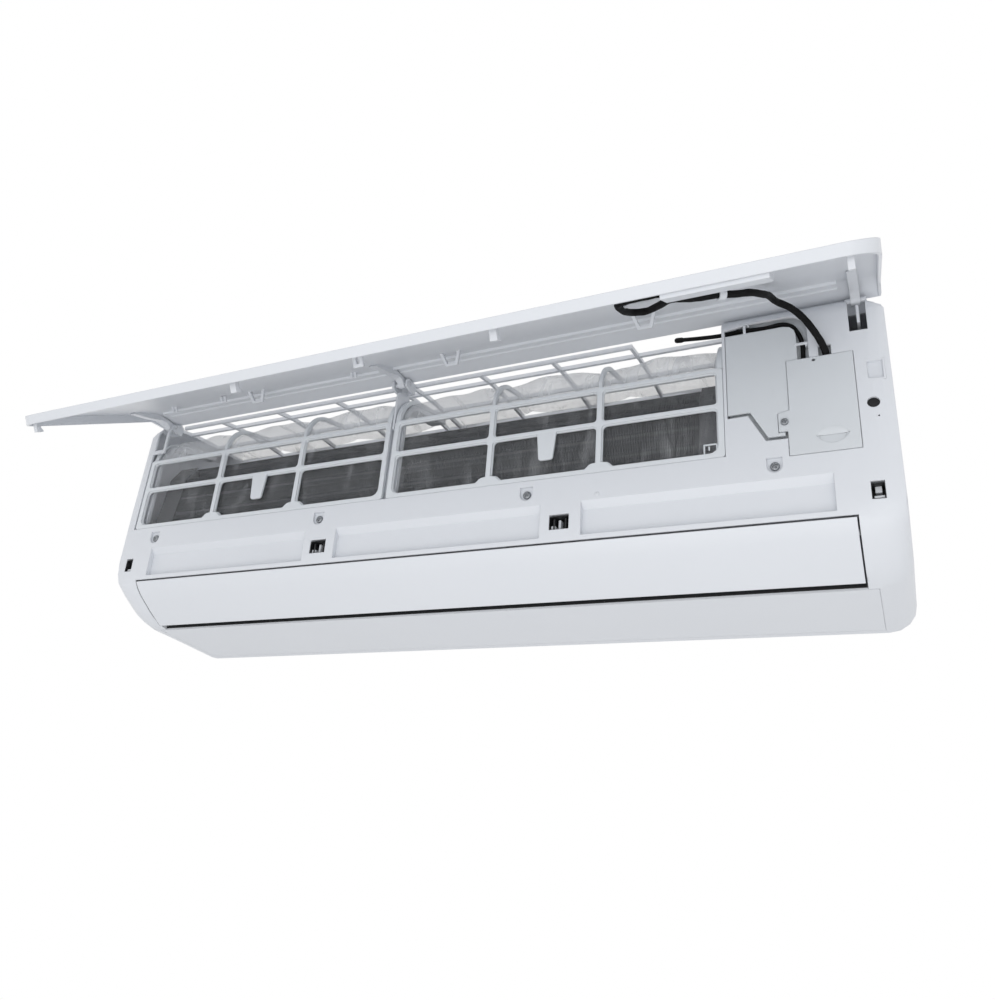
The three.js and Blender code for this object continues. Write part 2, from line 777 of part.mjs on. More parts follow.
function tubeSheet(x, side) {
  const plate = prismX(sheetOutline, side < 0 ? [x, x + sheet] : [x - sheet, x]);
  const bends = bendPlaces.map(([run, from, to, across]) => {
    const a = tubePlace(runs[run], from, across);
    const b = tubePlace(runs[run], to, across);
    const middle = a.clone().add(b).multiplyScalar(0.5);
    const radius = a.distanceTo(b) / 2;
    const points = Array.from({ length: 6 }, (_, i) => {
      const angle = (Math.PI * i) / 5;
      const spot = middle.clone().lerp(a, Math.cos(angle));
      return new THREE.Vector3(x + side * (radius * Math.sin(angle) + 0.6), spot.x, spot.y);
    });
    points.unshift(new THREE.Vector3(x - side * 0.5, a.x, a.y));
    points.push(new THREE.Vector3(x - side * 0.5, b.x, b.y));
    return solid(tube(points, tubeRadius, 6));
  });
  return join(plate, ...bends);
}
add("tube_sheet_left", tubeSheet(-coilLeft, -1), finishes.copper);
add("tube_sheet_right", tubeSheet(coilRight, 1), finishes.copper);

function connectingPipe(corners, radius, bend, nut) {
  const end = corners[corners.length - 1];
  const pipe = solid(tube(bentRoute(corners, bend), radius));
  const collar = rod([end.x, end.y, end.z], [end.x + 20, end.y, end.z], nut, 6);
  return join(pipe, collar);
}
const gasRoute = [
  new THREE.Vector3(coilRight + gap, -34.5, 42.4),
  new THREE.Vector3(288, -34.5, 42.4),
  new THREE.Vector3(288, -24, -106),
  new THREE.Vector3(-60, -24, -106),
];
const liquidRoute = [
  new THREE.Vector3(coilRight + gap, -50, 75.4),
  new THREE.Vector3(279, -50, 75.4),
  new THREE.Vector3(279, -50, 32),
  new THREE.Vector3(279, -36, 8),
  new THREE.Vector3(279, -36, -118),
  new THREE.Vector3(-40, -36, -118),
];
add("gas_pipe", connectingPipe(gasRoute, 4.76, 10, 9), finishes.copper);
add("liquid_pipe", connectingPipe(liquidRoute, 3.2, 8, 7.5), finishes.copper);

// ---------------------------------------------------------------- rear base
// The scroll behind the fan: a straight run, then a quadratic curve down to the outlet.
function scrollPoint(t) {
  const [a, b, c] = [
    [-22, -10],
    [-22, -55],
    [-104, -127],
  ];
  const mix = (i) => (1 - t) * (1 - t) * a[i] + 2 * t * (1 - t) * b[i] + t * t * c[i];
  return new THREE.Vector2(mix(0), mix(1));
}

function scrollBand(from, x) {
  const steps = 8;
  const face = Array.from({ length: steps + 1 }, (_, i) => scrollPoint(from + ((1 - from) * i) / steps));
  const back = face.map((p, i) => {
    const along = face[Math.min(i + 1, steps)].clone().sub(face[Math.max(i - 1, 0)]).normalize();
    return [p.x - along.y * skin, p.y + along.x * skin];
  });
  const start = from === 0 ? [[-26, 22]] : [];
  const startBack = from === 0 ? [[-26 + skin, 22]] : [];
  const shape = [...start, ...face.map((p) => [p.x, p.y]), ...back.reverse(), ...startBack];
  return cut(
    prismX(shape, x),
    block([x[0] - 1, x[1] + 1], [-120, -100.6], [-140, -90]),
    block([x[0] - 1, x[1] + 1], [-120, -80], [-140, -126.4]),
  );
}

const sideWall = [
  [-25, 23],
  [-23.2, -10],
  ...Array.from({ length: 7 }, (_, i) => scrollPoint((i + 1) / 8)).map((p) => [p.x + 0.6, p.y - 0.6]),
  [-101, -123.4],
  [-106, -118],
  [-128, -101],
  [-141, -77],
  [-114, -51],
  [-113, 23],
];
const leftWall = [-391.6, -389.2];
const rightWall = [268, 270.4];
const axis = [-fanY, -fanZ];
const motorRadius = 36;
const motorSpan = [297, 360];
const saddleSpan = [motorSpan[0] + 15, motorSpan[1] - 16];
const vaneX = [-350, -266, -182, -98, -14, 70, 154, 238];
const vaneBase = scrollPoint(0.8);
const vaneFlow = new THREE.Vector2(-0.70, -0.714).normalize();
const vaneUp = new THREE.Vector2(vaneFlow.y, -vaneFlow.x);
function vanePlace(along, up) {
  return vaneBase.clone().addScaledVector(vaneFlow, along).addScaledVector(vaneUp, up);
}
function vaneRod(x, from, to, along, radius, sides) {
  const [a, b] = [vanePlace(along, from), vanePlace(along, to)];
  return rod([x, a.x, a.y], [x, b.x, b.y], radius, sides);
}

function rearBase() {
  const inner = half - skin - gap;
  const backY = [-12, -9.6];
  const plate = prismY(roundedBox([-inner, inner], [-134.1, 134.2], cornerRadius - skin - gap, 4), backY);
  const rim = cut(block([-310, 310], [-10, -1.5], [-106, 106]), block([-306, 306], [-20, 0], [-102, 102]));
  const wide = scrollBand(0, [leftWall[0], rightWall[1]]);
  const flare = scrollBand(0.5, [rightWall[0], outletHalf - 0.5]);
  const gutter = join(
    block([leftWall[0], rightWall[1]], [-45, -10], [24.9, 27.3]),
    block([leftWall[0], rightWall[1]], [-47.4, -45], [24.9, 33]),
    block([leftWall[0], rightWall[1]], [-26, -23.6], [20, 25.5]),
  );
  const walls = [leftWall, rightWall].map((x) => prismX(sideWall, x));
  const ribSide = [
    [-11, 25.5],
    [-23, 25.5],
    [-20.5, -10],
    ...Array.from({ length: 4 }, (_, i) => scrollPoint((i + 1) / 8)).map((p) => [p.x + 1.5, p.y - 1.5]),
    [-11, -78],
  ];
  const ribs = [-300, -150, 0, 150, 262].map((x) => prismX(ribSide, [x - 1, x + 1]));
  const saddle = block(saddleSpan, [-114.7, -10], [-60, -24]);
  const body = join(plate, rim, wide, flare, gutter, ...walls, ...ribs, saddle);
  return cut(
    body,
    rod([motorSpan[0] - 5, ...axis], [motorSpan[1] + 5, ...axis], motorRadius + gap, 32),
    rod([leftWall[0] - 2, ...axis], [leftWall[1] + 2, ...axis], 11.1, 14),
    rod([rightWall[0] - 2, ...axis], [rightWall[1] + 2, ...axis], 9),
    ...vaneX.map((x) => vaneRod(x, -6, 6, 0, 2.5, 8)),
  );
}
add("rear_base", rearBase(), finishes.greyPlastic);

const wallPlate = cut(
  join(
    block([-330, 330], [-1.2, 0], [-112, 112]),
    ...[-200, 0, 200].map((x) => block([x - 14, x + 14], [-6, -1], [108.4, 112])),
    ...[-200, 0, 200].map((x) => block([x - 14, x + 14], [-7.2, -6], [108.4, 118])),
  ),
  ...[-280, -140, 140, 280].flatMap((x) => [-70, 70].map((z) => rod([x, -3, z], [x, 2, z], 4, 8))),
);
add("wall_plate", wallPlate, finishes.zincSteel);

const bottomCover = join(
  prismX(
    [
      [lipY - 0.6, -lipDrop],
      [-60, -(lipDrop + caseBottom) / 2 + 0.8],
      [-8.3, -caseBottom + 0.7],
      [-8.3, -caseBottom + 0.7 + skin],
      [-60, -(lipDrop + caseBottom) / 2 + 0.8 + skin],
      [lipY - 0.6, -lipDrop + skin],
    ],
    [-394.6, 394.6],
  ),
  block([-outletHalf + 0.6, outletHalf - 0.6], [lipY - 0.6, lipY + 1.8], [-lipDrop + 1, -lipDrop + 5.4]),
);
add("bottom_cover", bottomCover, finishes.whitePlastic);

// ---------------------------------------------------------------- inlet grille
const grilleTop = [
  [-145.4, 125.3],
  [-112, 131.6],
  [-60, 135.8],
  [-22.5, 136],
];
const grilleSide = [...grilleTop, ...[...grilleTop].reverse().map(([y, z]) => [y, z - 4.6])];
const crossX = [-331, -245, -161, -76, -58, 26, 109, 193];
const grilleX = [-windowLeft + 4.4, rightFilter[1] - 0.1];
function grilleHeight(y) {
  const i = grilleTop.findIndex(([at]) => at >= y);
  const [a, b] = [grilleTop[Math.max(i - 1, 0)], grilleTop[Math.max(i, 1)]];
  return a[1] + ((y - a[0]) / (b[0] - a[0])) * (b[1] - a[1]);
}
const longBars = [-143.9, -120, -72, -24.5].map((y) =>
  block(y < -140 ? [-390.6, crossX[7] + 1.5] : grilleX, [y - 1.5, y + 1.5], [grilleHeight(y) - 4.6, grilleHeight(y) - 0.4]),
);
const crossBars = [grilleX[0] + 1.5, ...crossX, grilleX[1] - 1.5].map((x) =>
  prismX(grilleSide, [x - 1.5, x + 1.5]),
);
add("top_grille", join(...longBars, ...crossBars), finishes.whitePlastic);

// ---------------------------------------------------------------- drain pan
const panSide = [
  [-157.9, -31],
  [-155.5, -31],
  [-155.5, -46.3],
  [-117.5, -46.3],
  [-117.5, -38],
  [-115.1, -38],
  [-115.1, -50.5],
  [-146, -80.3],
  [-157.9, -80.3],
  [-157.9, -77.9],
  [-146.9, -77.9],
  [-119.2, -51.2],
  [-121, -48.7],
  [-157.9, -48.7],
];
const panX = [-386, 386];
const drainPan = cut(
  join(
    prismX(panSide, panX),
    ...panX.map((x) => block(x < 0 ? [x, x + 2] : [x - 2, x], [-156.5, -116.5], [-48, -34])),
    rod([-386, -128, -44], [-398, -128, -44], 7, 16),
  ),
  rod([-380, -128, -44], [-400, -128, -44], 5, 16),
  ...screwX.map((x) => rod([x, frontY, screwZ], [x, -150, screwZ], 2.4, 10)),
);
add("drain_pan", drainPan, finishes.whitePlastic);
add(
  "drain_plug",
  join(rod([-388, -128, -44], [-400, -128, -44], 4.7, 16), rod([-398.3, -128, -44], [-401, -128, -44], 8, 16)),
  finishes.rubber,
);

// ---------------------------------------------------------------- fan and motor
function fanWheel() {
  const bladeCount = 12;
  const discs = [-fanLeft, -214, -56.5, 101, fanRight - 3].map((x) => rod([x, ...axis], [x + 3, ...axis], fanRadius, 20));
  const blades = Array.from({ length: bladeCount }, (_, i) => {
    const angle = (i / bladeCount) * Math.PI * 2;
    const at = (radius, turn) => [
      axis[0] + radius * Math.cos(angle + turn),
      axis[1] + radius * Math.sin(angle + turn),
    ];
    const side = [at(33, 0), at(41, 0.16), at(41.2, 0.2), at(33, 0.05)];
    return prismX(side, [-fanLeft + 1, fanRight - 1]);
  });
  const hubs = [
    rod([-fanLeft, ...axis], [-fanLeft + 14, ...axis], 10),
    rod([fanRight - 14, ...axis], [fanRight, ...axis], 10),
  ];
  return cut(
    join(...discs, ...blades, ...hubs),
    rod([-fanLeft - 1, ...axis], [-fanLeft + 12, ...axis], 4.3),
    rod([fanRight - 12, ...axis], [fanRight + 1, ...axis], 4),
  );
}
add("fan_wheel", fanWheel(), finishes.fanPlastic);
add(
  "fan_shaft",
  rod([-398, ...axis], [-fanLeft + 11, ...axis], 4),
  finishes.zincSteel,
);
add("motor_shaft", rod([fanRight - 11, ...axis], [303, ...axis], 3.7), finishes.zincSteel);
add(
  "fan_bearing",
  cut(
    join(rod([-395, ...axis], [-387, ...axis], 10.7, 14), rod([-395, ...axis], [-391.9, ...axis], 14, 14)),
    rod([-396, ...axis], [-386, ...axis], 4.3),
  ),
  finishes.rubber,
);
add(
  "fan_motor",
  cut(
    join(
      rod([motorSpan[0], ...axis], [motorSpan[1], ...axis], motorRadius, 32),
      rod([291.5, ...axis], [motorSpan[0] + 1, ...axis], 11, 20),
    ),
    rod([290, ...axis], [304, ...axis], 4),
  ),
  finishes.zincSteel,
);
const strap = [motorRadius + gap, motorRadius + gap + 2.2];
const clampRing = cut(
  rod([saddleSpan[0], ...axis], [saddleSpan[1], ...axis], strap[1], 32),
  rod([saddleSpan[0] - 1, ...axis], [saddleSpan[1] + 1, ...axis], strap[0], 32),
  block([saddleSpan[0] - 1, saddleSpan[1] + 1], [-130, -10], [-90, -24 + gap]),
);
const clampFeet = [-1, 1].map((side) => {
  const y = [axis[0] + side * (strap[0] + 0.4), axis[0] + side * (strap[0] + 6)].sort((a, b) => a - b);
  return block(saddleSpan, y, [-24 + gap, -21.6]);
});
add("motor_clamp", join(clampRing, ...clampFeet), finishes.zincSteel);

// ---------------------------------------------------------------- louver and vanes
const louverFace = [
  [-166, -88.3],
  [-161.4, -94.6],
  [-154.9, -101],
  [-146.9, -107],
  [-138.8, -113],
  [-128.8, -119.8],
  [-116.9, -127.3],
];
const louverSide = [
  ...louverFace,
  [-116.2, -125.8],
  [-127.2, -115.6],
  [-138, -106],
  [-147, -97.6],
  [-155, -91.6],
  [-163, -87.6],
];
const louver = join(
  prismX(louverSide, [-outletHalf + 1.4, outletHalf - 1.4]),
  rod([-outletHalf - 2, ...pivotLouver], [outletHalf + 2, ...pivotLouver], pinRadius, 12),
);
add("louver", louver, finishes.whitePlastic);
add(
  "louver_motor",
  rod([389.2, pivotLouver[0] + 8.7, pivotLouver[1] + 6.6], [405, pivotLouver[0] + 8.7, pivotLouver[1] + 6.6], 12, 20),
  finishes.whitePlastic,
);

const crank = 16; // from each vane's pivot to its link pin
function vane(x) {
  const side = [vanePlace(-8, 6), vanePlace(-2, 3), vanePlace(24, 3), vanePlace(28, 8), vanePlace(28, 37), vanePlace(-8, 37)];
  return join(
    prismX(side.map((p) => [p.x, p.y]), [x - 0.9, x + 0.9]),
    vaneRod(x, -1.8, 4, 0, 2, 8),
    vaneRod(x, 36, 40.5, crank, 1.3, 6),
  );
}
function linkBar(list) {
  const corners = [vanePlace(crank - 3, 38), vanePlace(crank + 3, 38), vanePlace(crank + 3, 40), vanePlace(crank - 3, 40)];
  const bar = prismX(corners.map((p) => [p.x, p.y]), [list[0] - 5, list[list.length - 1] + 5]);
  return cut(bar, ...list.map((x) => vaneRod(x, 36, 43, crank, 1.9, 6)));
}
const sides = { left: vaneX.slice(0, 4), right: vaneX.slice(4) };
for (const [side, list] of Object.entries(sides)) {
  list.forEach((x, i) => add(`vane_${side}_${i + 1}`, vane(x), finishes.blackPlastic));
  add(`link_${side}`, linkBar(list), finishes.blackPlastic);
}

// ---------------------------------------------------------------- electrical box
const boxY = [-160, -120];
const boxZ = [-21, 112];
const right = boxRight - 1;
const web = [boxY[0], boxY[0] + 1.6];
const tray = join(
  cut(
    block([boxLeft, right], boxY, boxZ),
    block([boxLeft + 2, right - 2], [boxY[0] - 2, boxY[1] - 2], [boxZ[0] + 2, boxZ[1] - 2]),
  ),
  block([boxLeft + 1, right - 1], web, [88, boxZ[1] - 1]),
  block([boxLeft + 1, 340], web, [-15, 20]),
  block([345, right - 1], web, [66, 89]),
  ...[300, 370].map((x) => block([x, x + 10], [-150, -125], [-46, boxZ[0] + 1])),
  ...[300, 334].flatMap((x) => [-8, 98].map((z) => rod([x, -130, z], [x, -121, z], 3, 8))),
  rod([309.7, -166, 107.6], [309.7, -159, 107.6], 1.2, 8),
  rod([358.2, -166, 77.2], [358.2, -159, 77.2], 1.2, 8),
  block([right - 1, 413], [-158.2, -156.2], [4, 18]),
);
const controlBox = cut(tray, block([boxLeft - 1, 304], [boxY[0] - 1, -152], [101, boxZ[1] + 1]));
add("control_box", controlBox, finishes.greyPlastic);
const board = join(
  block([296, 340], [-131.9, -130.3], [-14, 104]),
  block([301, 316], [-144, -131.5], [60, 84]),
  rod([328, -150, 36], [328, -131.5, 36], 8, 12),
  block([302, 318], [-140, -131.5], [4, 22]),
);
add("circuit_board", board, finishes.board);
add("terminal_block", block([350, 386], [-146, -122.3], [-12, 12]), finishes.blackPlastic);

const coverY = [frontY + 0.6, frontY + 0.6 + coverThick];
const coverOutline = [
  [289, 17.5],
  [307.7, 17.8],
  [321.9, -8.8],
  [336, -9],
  [336, -6],
  [330.5, -6],
  [330.5, 12.5],
  [340.1, 14.5],
  [340.1, 63.4],
  [350, 63.4],
  ...arc(340, 89.5, 10, 0, 90, 3),
  [289, 99.5],
];
const boxCover = join(
  prismY(coverOutline, coverY),
  block([290.4, 292.4], [coverY[1] - 0.5, boxY[0] - gap], [18, 96]),
  block([291, 338], [coverY[1] - 0.5, boxY[0] - gap], [96, 98]),
);
add("box_cover", boxCover, finishes.greyPlastic);

const terminalY = [frontY - 0.4, frontY - 0.4 + coverThick];
const terminalOutline = [
  [394.6, -28.8],
  [394.6, 62.8],
  [340.5, 62.8],
  [340.5, 14.1],
  [331, 12.1],
  [331, -5.4],
  [338.5, -5.4],
  [338.5, -28.8],
];
const scoop = [...arc(373.4, -20.5, 14.7, 152, 28, 6), ...arc(373.4, -6.7, 14.7, -28, -152, 6)];
const terminalCover = cut(
  join(
    prismY(terminalOutline, terminalY),
    block([350, 388], [terminalY[1] - 0.5, boxY[0] - gap], [boxZ[0], boxZ[0] + 2]),
    block([right - 2, right], [terminalY[1] - 0.5, boxY[0] - gap], [-12, 48]),
  ),
  prismY(scoop, [terminalY[0] - 1, terminalY[0] + 1.2]),
  rod([336, frontY - 4, 3.2], [336, frontY + 6, 3.2], 1.9, 8),
  rod([363, frontY - 4, 60], [363, frontY + 6, 60], 1.5, 8),
);
add("terminal_cover", terminalCover, finishes.greyPlastic);

function screw(x, z, seat, shank, headRadius) {
  return join(
    rod([x, seat - 2.2, z], [x, seat, z], headRadius, 14),
    rod([x, seat - 0.5, z], [x, seat + shank, z], headRadius * 0.42, 8),
  );
}
add("cover_screw", screw(336, 3.2, terminalY[0] - gap, 4.6, 3.4), finishes.zincSteel);
screwX.forEach((x, i) => {
  add(`casing_screw_${i + 1}`, screw(x, screwZ, frontY + 3 - gap, 11, 4.2), finishes.zincSteel);
});

slots.forEach((s, i) => {
  const baseY = frontY + 13.4 + gap;
  const plate = block([s.x - s.w / 2 - 1.2, s.x + s.w / 2 + 1.2], [baseY, baseY + 1.2], [-latchLine - 8.6, -latchLine + 9]);
  const ends = Math.abs(s.x) > 300;
  const prongs = ends
    ? [-6.4, 6.2].map((z) => block([s.x - 3.6, s.x + 3.6], [frontY + 3, baseY + 0.5], [-latchLine + z - 0.4, -latchLine + z + 1.2]))
    : [-6.4, 4.8].map((x) => block([s.x + x, s.x + x + 1.6], [frontY + 3, baseY + 0.5], [-latchLine - 5, -latchLine + 5]));
  add(`latch_clip_${i + 1}`, join(plate, ...prongs), finishes.blackPlastic);
});

const autoButton = join(
  rod([buttonAt[0], frontY + 3.6, buttonAt[1]], [buttonAt[0], frontY + 6.8, buttonAt[1]], 4.6, 14),
  rod([buttonAt[0], frontY + skin + 0.9, buttonAt[1]], [buttonAt[0], frontY + skin + 2.4, buttonAt[1]], 6.5, 14),
);
add("auto_button", autoButton, finishes.blackPlastic);

// ---------------------------------------------------------------- wiring
function smoothRoute(points, steps) {
  const curve = new THREE.CatmullRomCurve3(points.map((p) => new THREE.Vector3(...p)), false, "centripetal");
  return curve.getPoints(steps);
}
const sensorPoints = [
  [244.3, -140, 123.1],
  [262, -146, 117.2],
  [282.3, -154, 110.4],
  [306, -163.3, 104.7],
  [323.8, -163.3, 103.3],
  [339.5, -163.3, 104.1],
  [347, -163.3, 100.3],
  [350.9, -163.3, 94.1],
  [353.8, -163.3, 86.1],
  [354.9, -163.3, 77.5],
  [354.6, -163, 67.9],
  [354.6, -162.6, 64.5],
];
const sensorCable = join(
  solid(tube(smoothRoute(sensorPoints, 22), 2)),
  rod([236, -137.4, 125.6], [244.6, -140.1, 123], 2.6, 8),
);
add("sensor_cable", sensorCable, finishes.blackPlastic);

const harnessPoints = [
  [271.5, -316.9, 46.3],
  [260.9, -317.8, 45.8],
  [244.7, -316.2, 46.7],
  [235.9, -316.2, 45.5],
  [231.8, -300.6, 52.5],
  [231.4, -269.8, 69.9],
  [240.6, -260.3, 75.2],
  [255.7, -275.4, 66.7],
  [272.3, -295.7, 55.3],
  [279.5, -286.5, 60.4],
  [289.8, -275.7, 66.5],
  [302, -265.8, 73.4],
  [314.2, -258.1, 76.4],
  [325.3, -253.5, 78.4],
  [333.1, -242.2, 83],
  [336, -222, 95],
  [340, -204, 100.5],
  [349.7, -194, 98.9],
  [359, -185, 92],
  [366, -178, 82],
  [371, -172, 72.5],
  [373, -166.5, 67.5],
  [373.4, -161.5, 64],
];
const harnessRoute = smoothRoute(harnessPoints, 44);
const closing = new THREE.Quaternion().setFromAxisAngle(
  new THREE.Vector3(1, 0, 0),
  THREE.MathUtils.degToRad(openAngle),
);
function closedPlace(point) {
  return point.clone().sub(panelPivot).applyQuaternion(closing).add(panelPivot);
}
const tieAt = harnessRoute.findIndex((p) => p.x > 300 && p.z > 66);
const tieEnds = [harnessRoute[tieAt], harnessRoute[tieAt].clone().lerp(harnessRoute[tieAt + 1], 0.8)];
const [tieFrom, tieTo] = tieEnds.map((p) => closedPlace(p).toArray());
const tieBore = harnessRoute.slice(tieAt - 1, tieAt + 4).map(closedPlace);
const tie = cut(rod(tieFrom, tieTo, 4.7), solid(tube(tieBore, 3.4)));
add("harness_tie", tie, finishes.whitePlastic, panelGroup);
add("display_harness", tube(harnessRoute, 3), finishes.blackPlastic);

export default unit;
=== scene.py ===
import json
import math
import bmesh
import bpy
import numpy as np
from mathutils import Matrix, Vector

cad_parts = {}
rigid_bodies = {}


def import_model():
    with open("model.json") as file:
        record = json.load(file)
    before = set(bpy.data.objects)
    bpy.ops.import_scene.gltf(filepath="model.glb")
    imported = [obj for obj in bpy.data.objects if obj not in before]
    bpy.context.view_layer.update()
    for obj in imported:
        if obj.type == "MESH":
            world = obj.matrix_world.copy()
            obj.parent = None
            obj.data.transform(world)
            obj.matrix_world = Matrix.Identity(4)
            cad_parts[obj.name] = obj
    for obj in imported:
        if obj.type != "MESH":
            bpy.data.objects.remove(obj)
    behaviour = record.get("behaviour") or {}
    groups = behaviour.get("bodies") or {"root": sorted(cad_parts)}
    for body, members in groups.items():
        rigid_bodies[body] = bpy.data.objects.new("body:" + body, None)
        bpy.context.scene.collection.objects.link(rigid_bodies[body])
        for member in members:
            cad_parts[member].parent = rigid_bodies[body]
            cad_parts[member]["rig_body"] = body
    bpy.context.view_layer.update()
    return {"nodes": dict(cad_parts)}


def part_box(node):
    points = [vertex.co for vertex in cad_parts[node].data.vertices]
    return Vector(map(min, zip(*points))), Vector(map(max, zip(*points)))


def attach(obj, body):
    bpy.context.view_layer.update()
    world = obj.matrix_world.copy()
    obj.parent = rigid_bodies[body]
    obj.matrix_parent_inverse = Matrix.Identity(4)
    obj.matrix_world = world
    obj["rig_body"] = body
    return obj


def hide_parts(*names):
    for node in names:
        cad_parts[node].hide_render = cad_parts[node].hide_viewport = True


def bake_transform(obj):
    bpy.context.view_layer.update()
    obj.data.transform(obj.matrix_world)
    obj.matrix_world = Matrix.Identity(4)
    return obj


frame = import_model()

# ---- Camera
# A small-format lens of about 31 mm, a little below the unit and to its right, turned as the photograph was.
camera_data = bpy.data.cameras.new("viewpoint")
camera_data.lens = 30.995
camera_data.sensor_width = 36
camera = bpy.data.objects.new("viewpoint", camera_data)
bpy.context.scene.collection.objects.link(camera)
across = Vector((0.90620, 0.41663, 0.07231))
up = Vector((0.10485, -0.38705, 0.91608))
back = Vector((0.40965, -0.82256, -0.39443))
turn = Matrix((across, up, back)).transposed().to_quaternion().to_matrix().to_4x4()
camera.matrix_world = Matrix.Translation((0.4076, -0.8442, -0.3631)) @ turn
bpy.context.scene.camera = camera

# ---- Wiring to the display
# A round black sleeve over thin wires, 6 mm thick. It leaves the box beside the terminal cover, crosses to the
# open panel in a free loop and ends in the display's case, held to the panel by one tie.


def effect_group(name, inputs, outputs):
    """An empty shader group; inputs are (name, kind, value) and outputs (name, kind)."""
    group = bpy.data.node_groups.new(name, "ShaderNodeTree")
    for label, kind, value in inputs:
        socket = group.interface.new_socket(label, in_out="INPUT", socket_type="NodeSocket" + kind)
        socket.default_value = value
    for label, kind in outputs:
        group.interface.new_socket(label, in_out="OUTPUT", socket_type="NodeSocket" + kind)
    return group, group.nodes.new("NodeGroupInput"), group.nodes.new("NodeGroupOutput")


def wire(tree, pairs):
    for out_socket, in_socket in pairs:
        tree.links.new(out_socket, in_socket)


def calc(tree, operation, first, second=None, third=None):
    """A Math node on sockets or plain numbers; its output socket comes back."""
    node = tree.nodes.new("ShaderNodeMath")
    node.operation = operation
    for slot, value in zip(node.inputs, (first, second, third)):
        if value is None:
            continue
        if isinstance(value, (int, float)):
            slot.default_value = value
        else:
            tree.links.new(value, slot)
    return node.outputs[0]


def grained_surface():
    """Moulded or painted surface: faint cloudiness, a fine grain, and edges rubbed a little paler and smoother."""
    group, given, result = effect_group(
        "grained_surface",
        [("Colour", "Color", (0.6, 0.6, 0.6, 1)), ("Cloud", "Float", 0.03), ("Grain size", "Float", 0.0006),
         ("Roughness", "Float", 0.4), ("Worn edge", "Float", 0.2)],
        [("Colour", "Color"), ("Roughness", "Float"), ("Height", "Float"), ("Normal", "Vector")],
    )
    nodes = group.nodes
    place = nodes.new("ShaderNodeTexCoord")
    cloud = nodes.new("ShaderNodeTexNoise")
    cloud.inputs["Scale"].default_value = 9
    cloud.inputs["Detail"].default_value = 3
    grain = nodes.new("ShaderNodeTexNoise")
    grain.inputs["Detail"].default_value = 2
    rounded = nodes.new("ShaderNodeBevel")
    rounded.samples = 4
    rounded.inputs["Radius"].default_value = 0.0009
    flat = nodes.new("ShaderNodeNewGeometry")
    bend = nodes.new("ShaderNodeVectorMath")
    bend.operation = "DOT_PRODUCT"
    wire(group, [
        (place.outputs["Object"], cloud.inputs["Vector"]),
        (place.outputs["Object"], grain.inputs["Vector"]),
        (calc(group, "DIVIDE", 1.0, given.outputs["Grain size"]), grain.inputs["Scale"]),
        (rounded.outputs["Normal"], bend.inputs[0]),
        (flat.outputs["Normal"], bend.inputs[1]),
    ])
    edge = calc(group, "SUBTRACT", 1.0, bend.outputs["Value"])
    edge = calc(group, "MULTIPLY", edge, 3.0)
    edge = calc(group, "MINIMUM", edge, 1.0)
    worn = calc(group, "MULTIPLY", edge, given.outputs["Worn edge"])
    shift = calc(group, "SUBTRACT", cloud.outputs["Fac"], 0.5)
    shift = calc(group, "MULTIPLY", shift, given.outputs["Cloud"])
    value = calc(group, "ADD", calc(group, "ADD", shift, calc(group, "MULTIPLY", worn, 0.25)), 1.0)
    tone = nodes.new("ShaderNodeHueSaturation")
    rough = calc(group, "SUBTRACT", given.outputs["Roughness"], calc(group, "MULTIPLY", worn, 0.2))
    rough = calc(group, "ADD", rough, calc(group, "MULTIPLY", shift, 1.5))
    wire(group, [
        (given.outputs["Colour"], tone.inputs["Color"]),
        (value, tone.inputs["Value"]),
        (tone.outputs["Color"], result.inputs["Colour"]),
        (rough, result.inputs["Roughness"]),
        (grain.outputs["Fac"], result.inputs["Height"]),
        (rounded.outputs["Normal"], result.inputs["Normal"]),
    ])
    return group


surface_group = grained_surface()


def grained(name, colour, roughness, grain_depth=0.00004, grain_size=0.0006, cloud=0.03, worn=0.2, metal=0.0):
    """A finish built on the grained surface. The colour is sRGB, 0 to 255."""
    finish = bpy.data.materials.new(name)
    finish.use_nodes = True
    tree = finish.node_tree
    shader = tree.nodes["Principled BSDF"]
    skin = tree.nodes.new("ShaderNodeGroup")
    skin.node_tree = surface_group
    linear = [((c / 255 + 0.055) / 1.055) ** 2.4 if c > 10 else c / 3294.6 for c in colour]
    skin.inputs["Colour"].default_value = (*linear, 1)
    skin.inputs["Cloud"].default_value = cloud
    skin.inputs["Grain size"].default_value = grain_size
    skin.inputs["Roughness"].default_value = roughness
    skin.inputs["Worn edge"].default_value = worn
    relief = tree.nodes.new("ShaderNodeBump")
    relief.inputs["Strength"].default_value = 0.6
    relief.inputs["Distance"].default_value = grain_depth
    shader.inputs["Metallic"].default_value = metal
    wire(tree, [
        (skin.outputs["Colour"], shader.inputs["Base Color"]),
        (skin.outputs["Roughness"], shader.inputs["Roughness"]),
        (skin.outputs["Height"], relief.inputs["Height"]),
        (skin.outputs["Normal"], relief.inputs["Normal"]),
        (relief.outputs["Normal"], shader.inputs["Normal"]),
    ])
    finish.diffuse_color = (*linear, 1)
    return finish


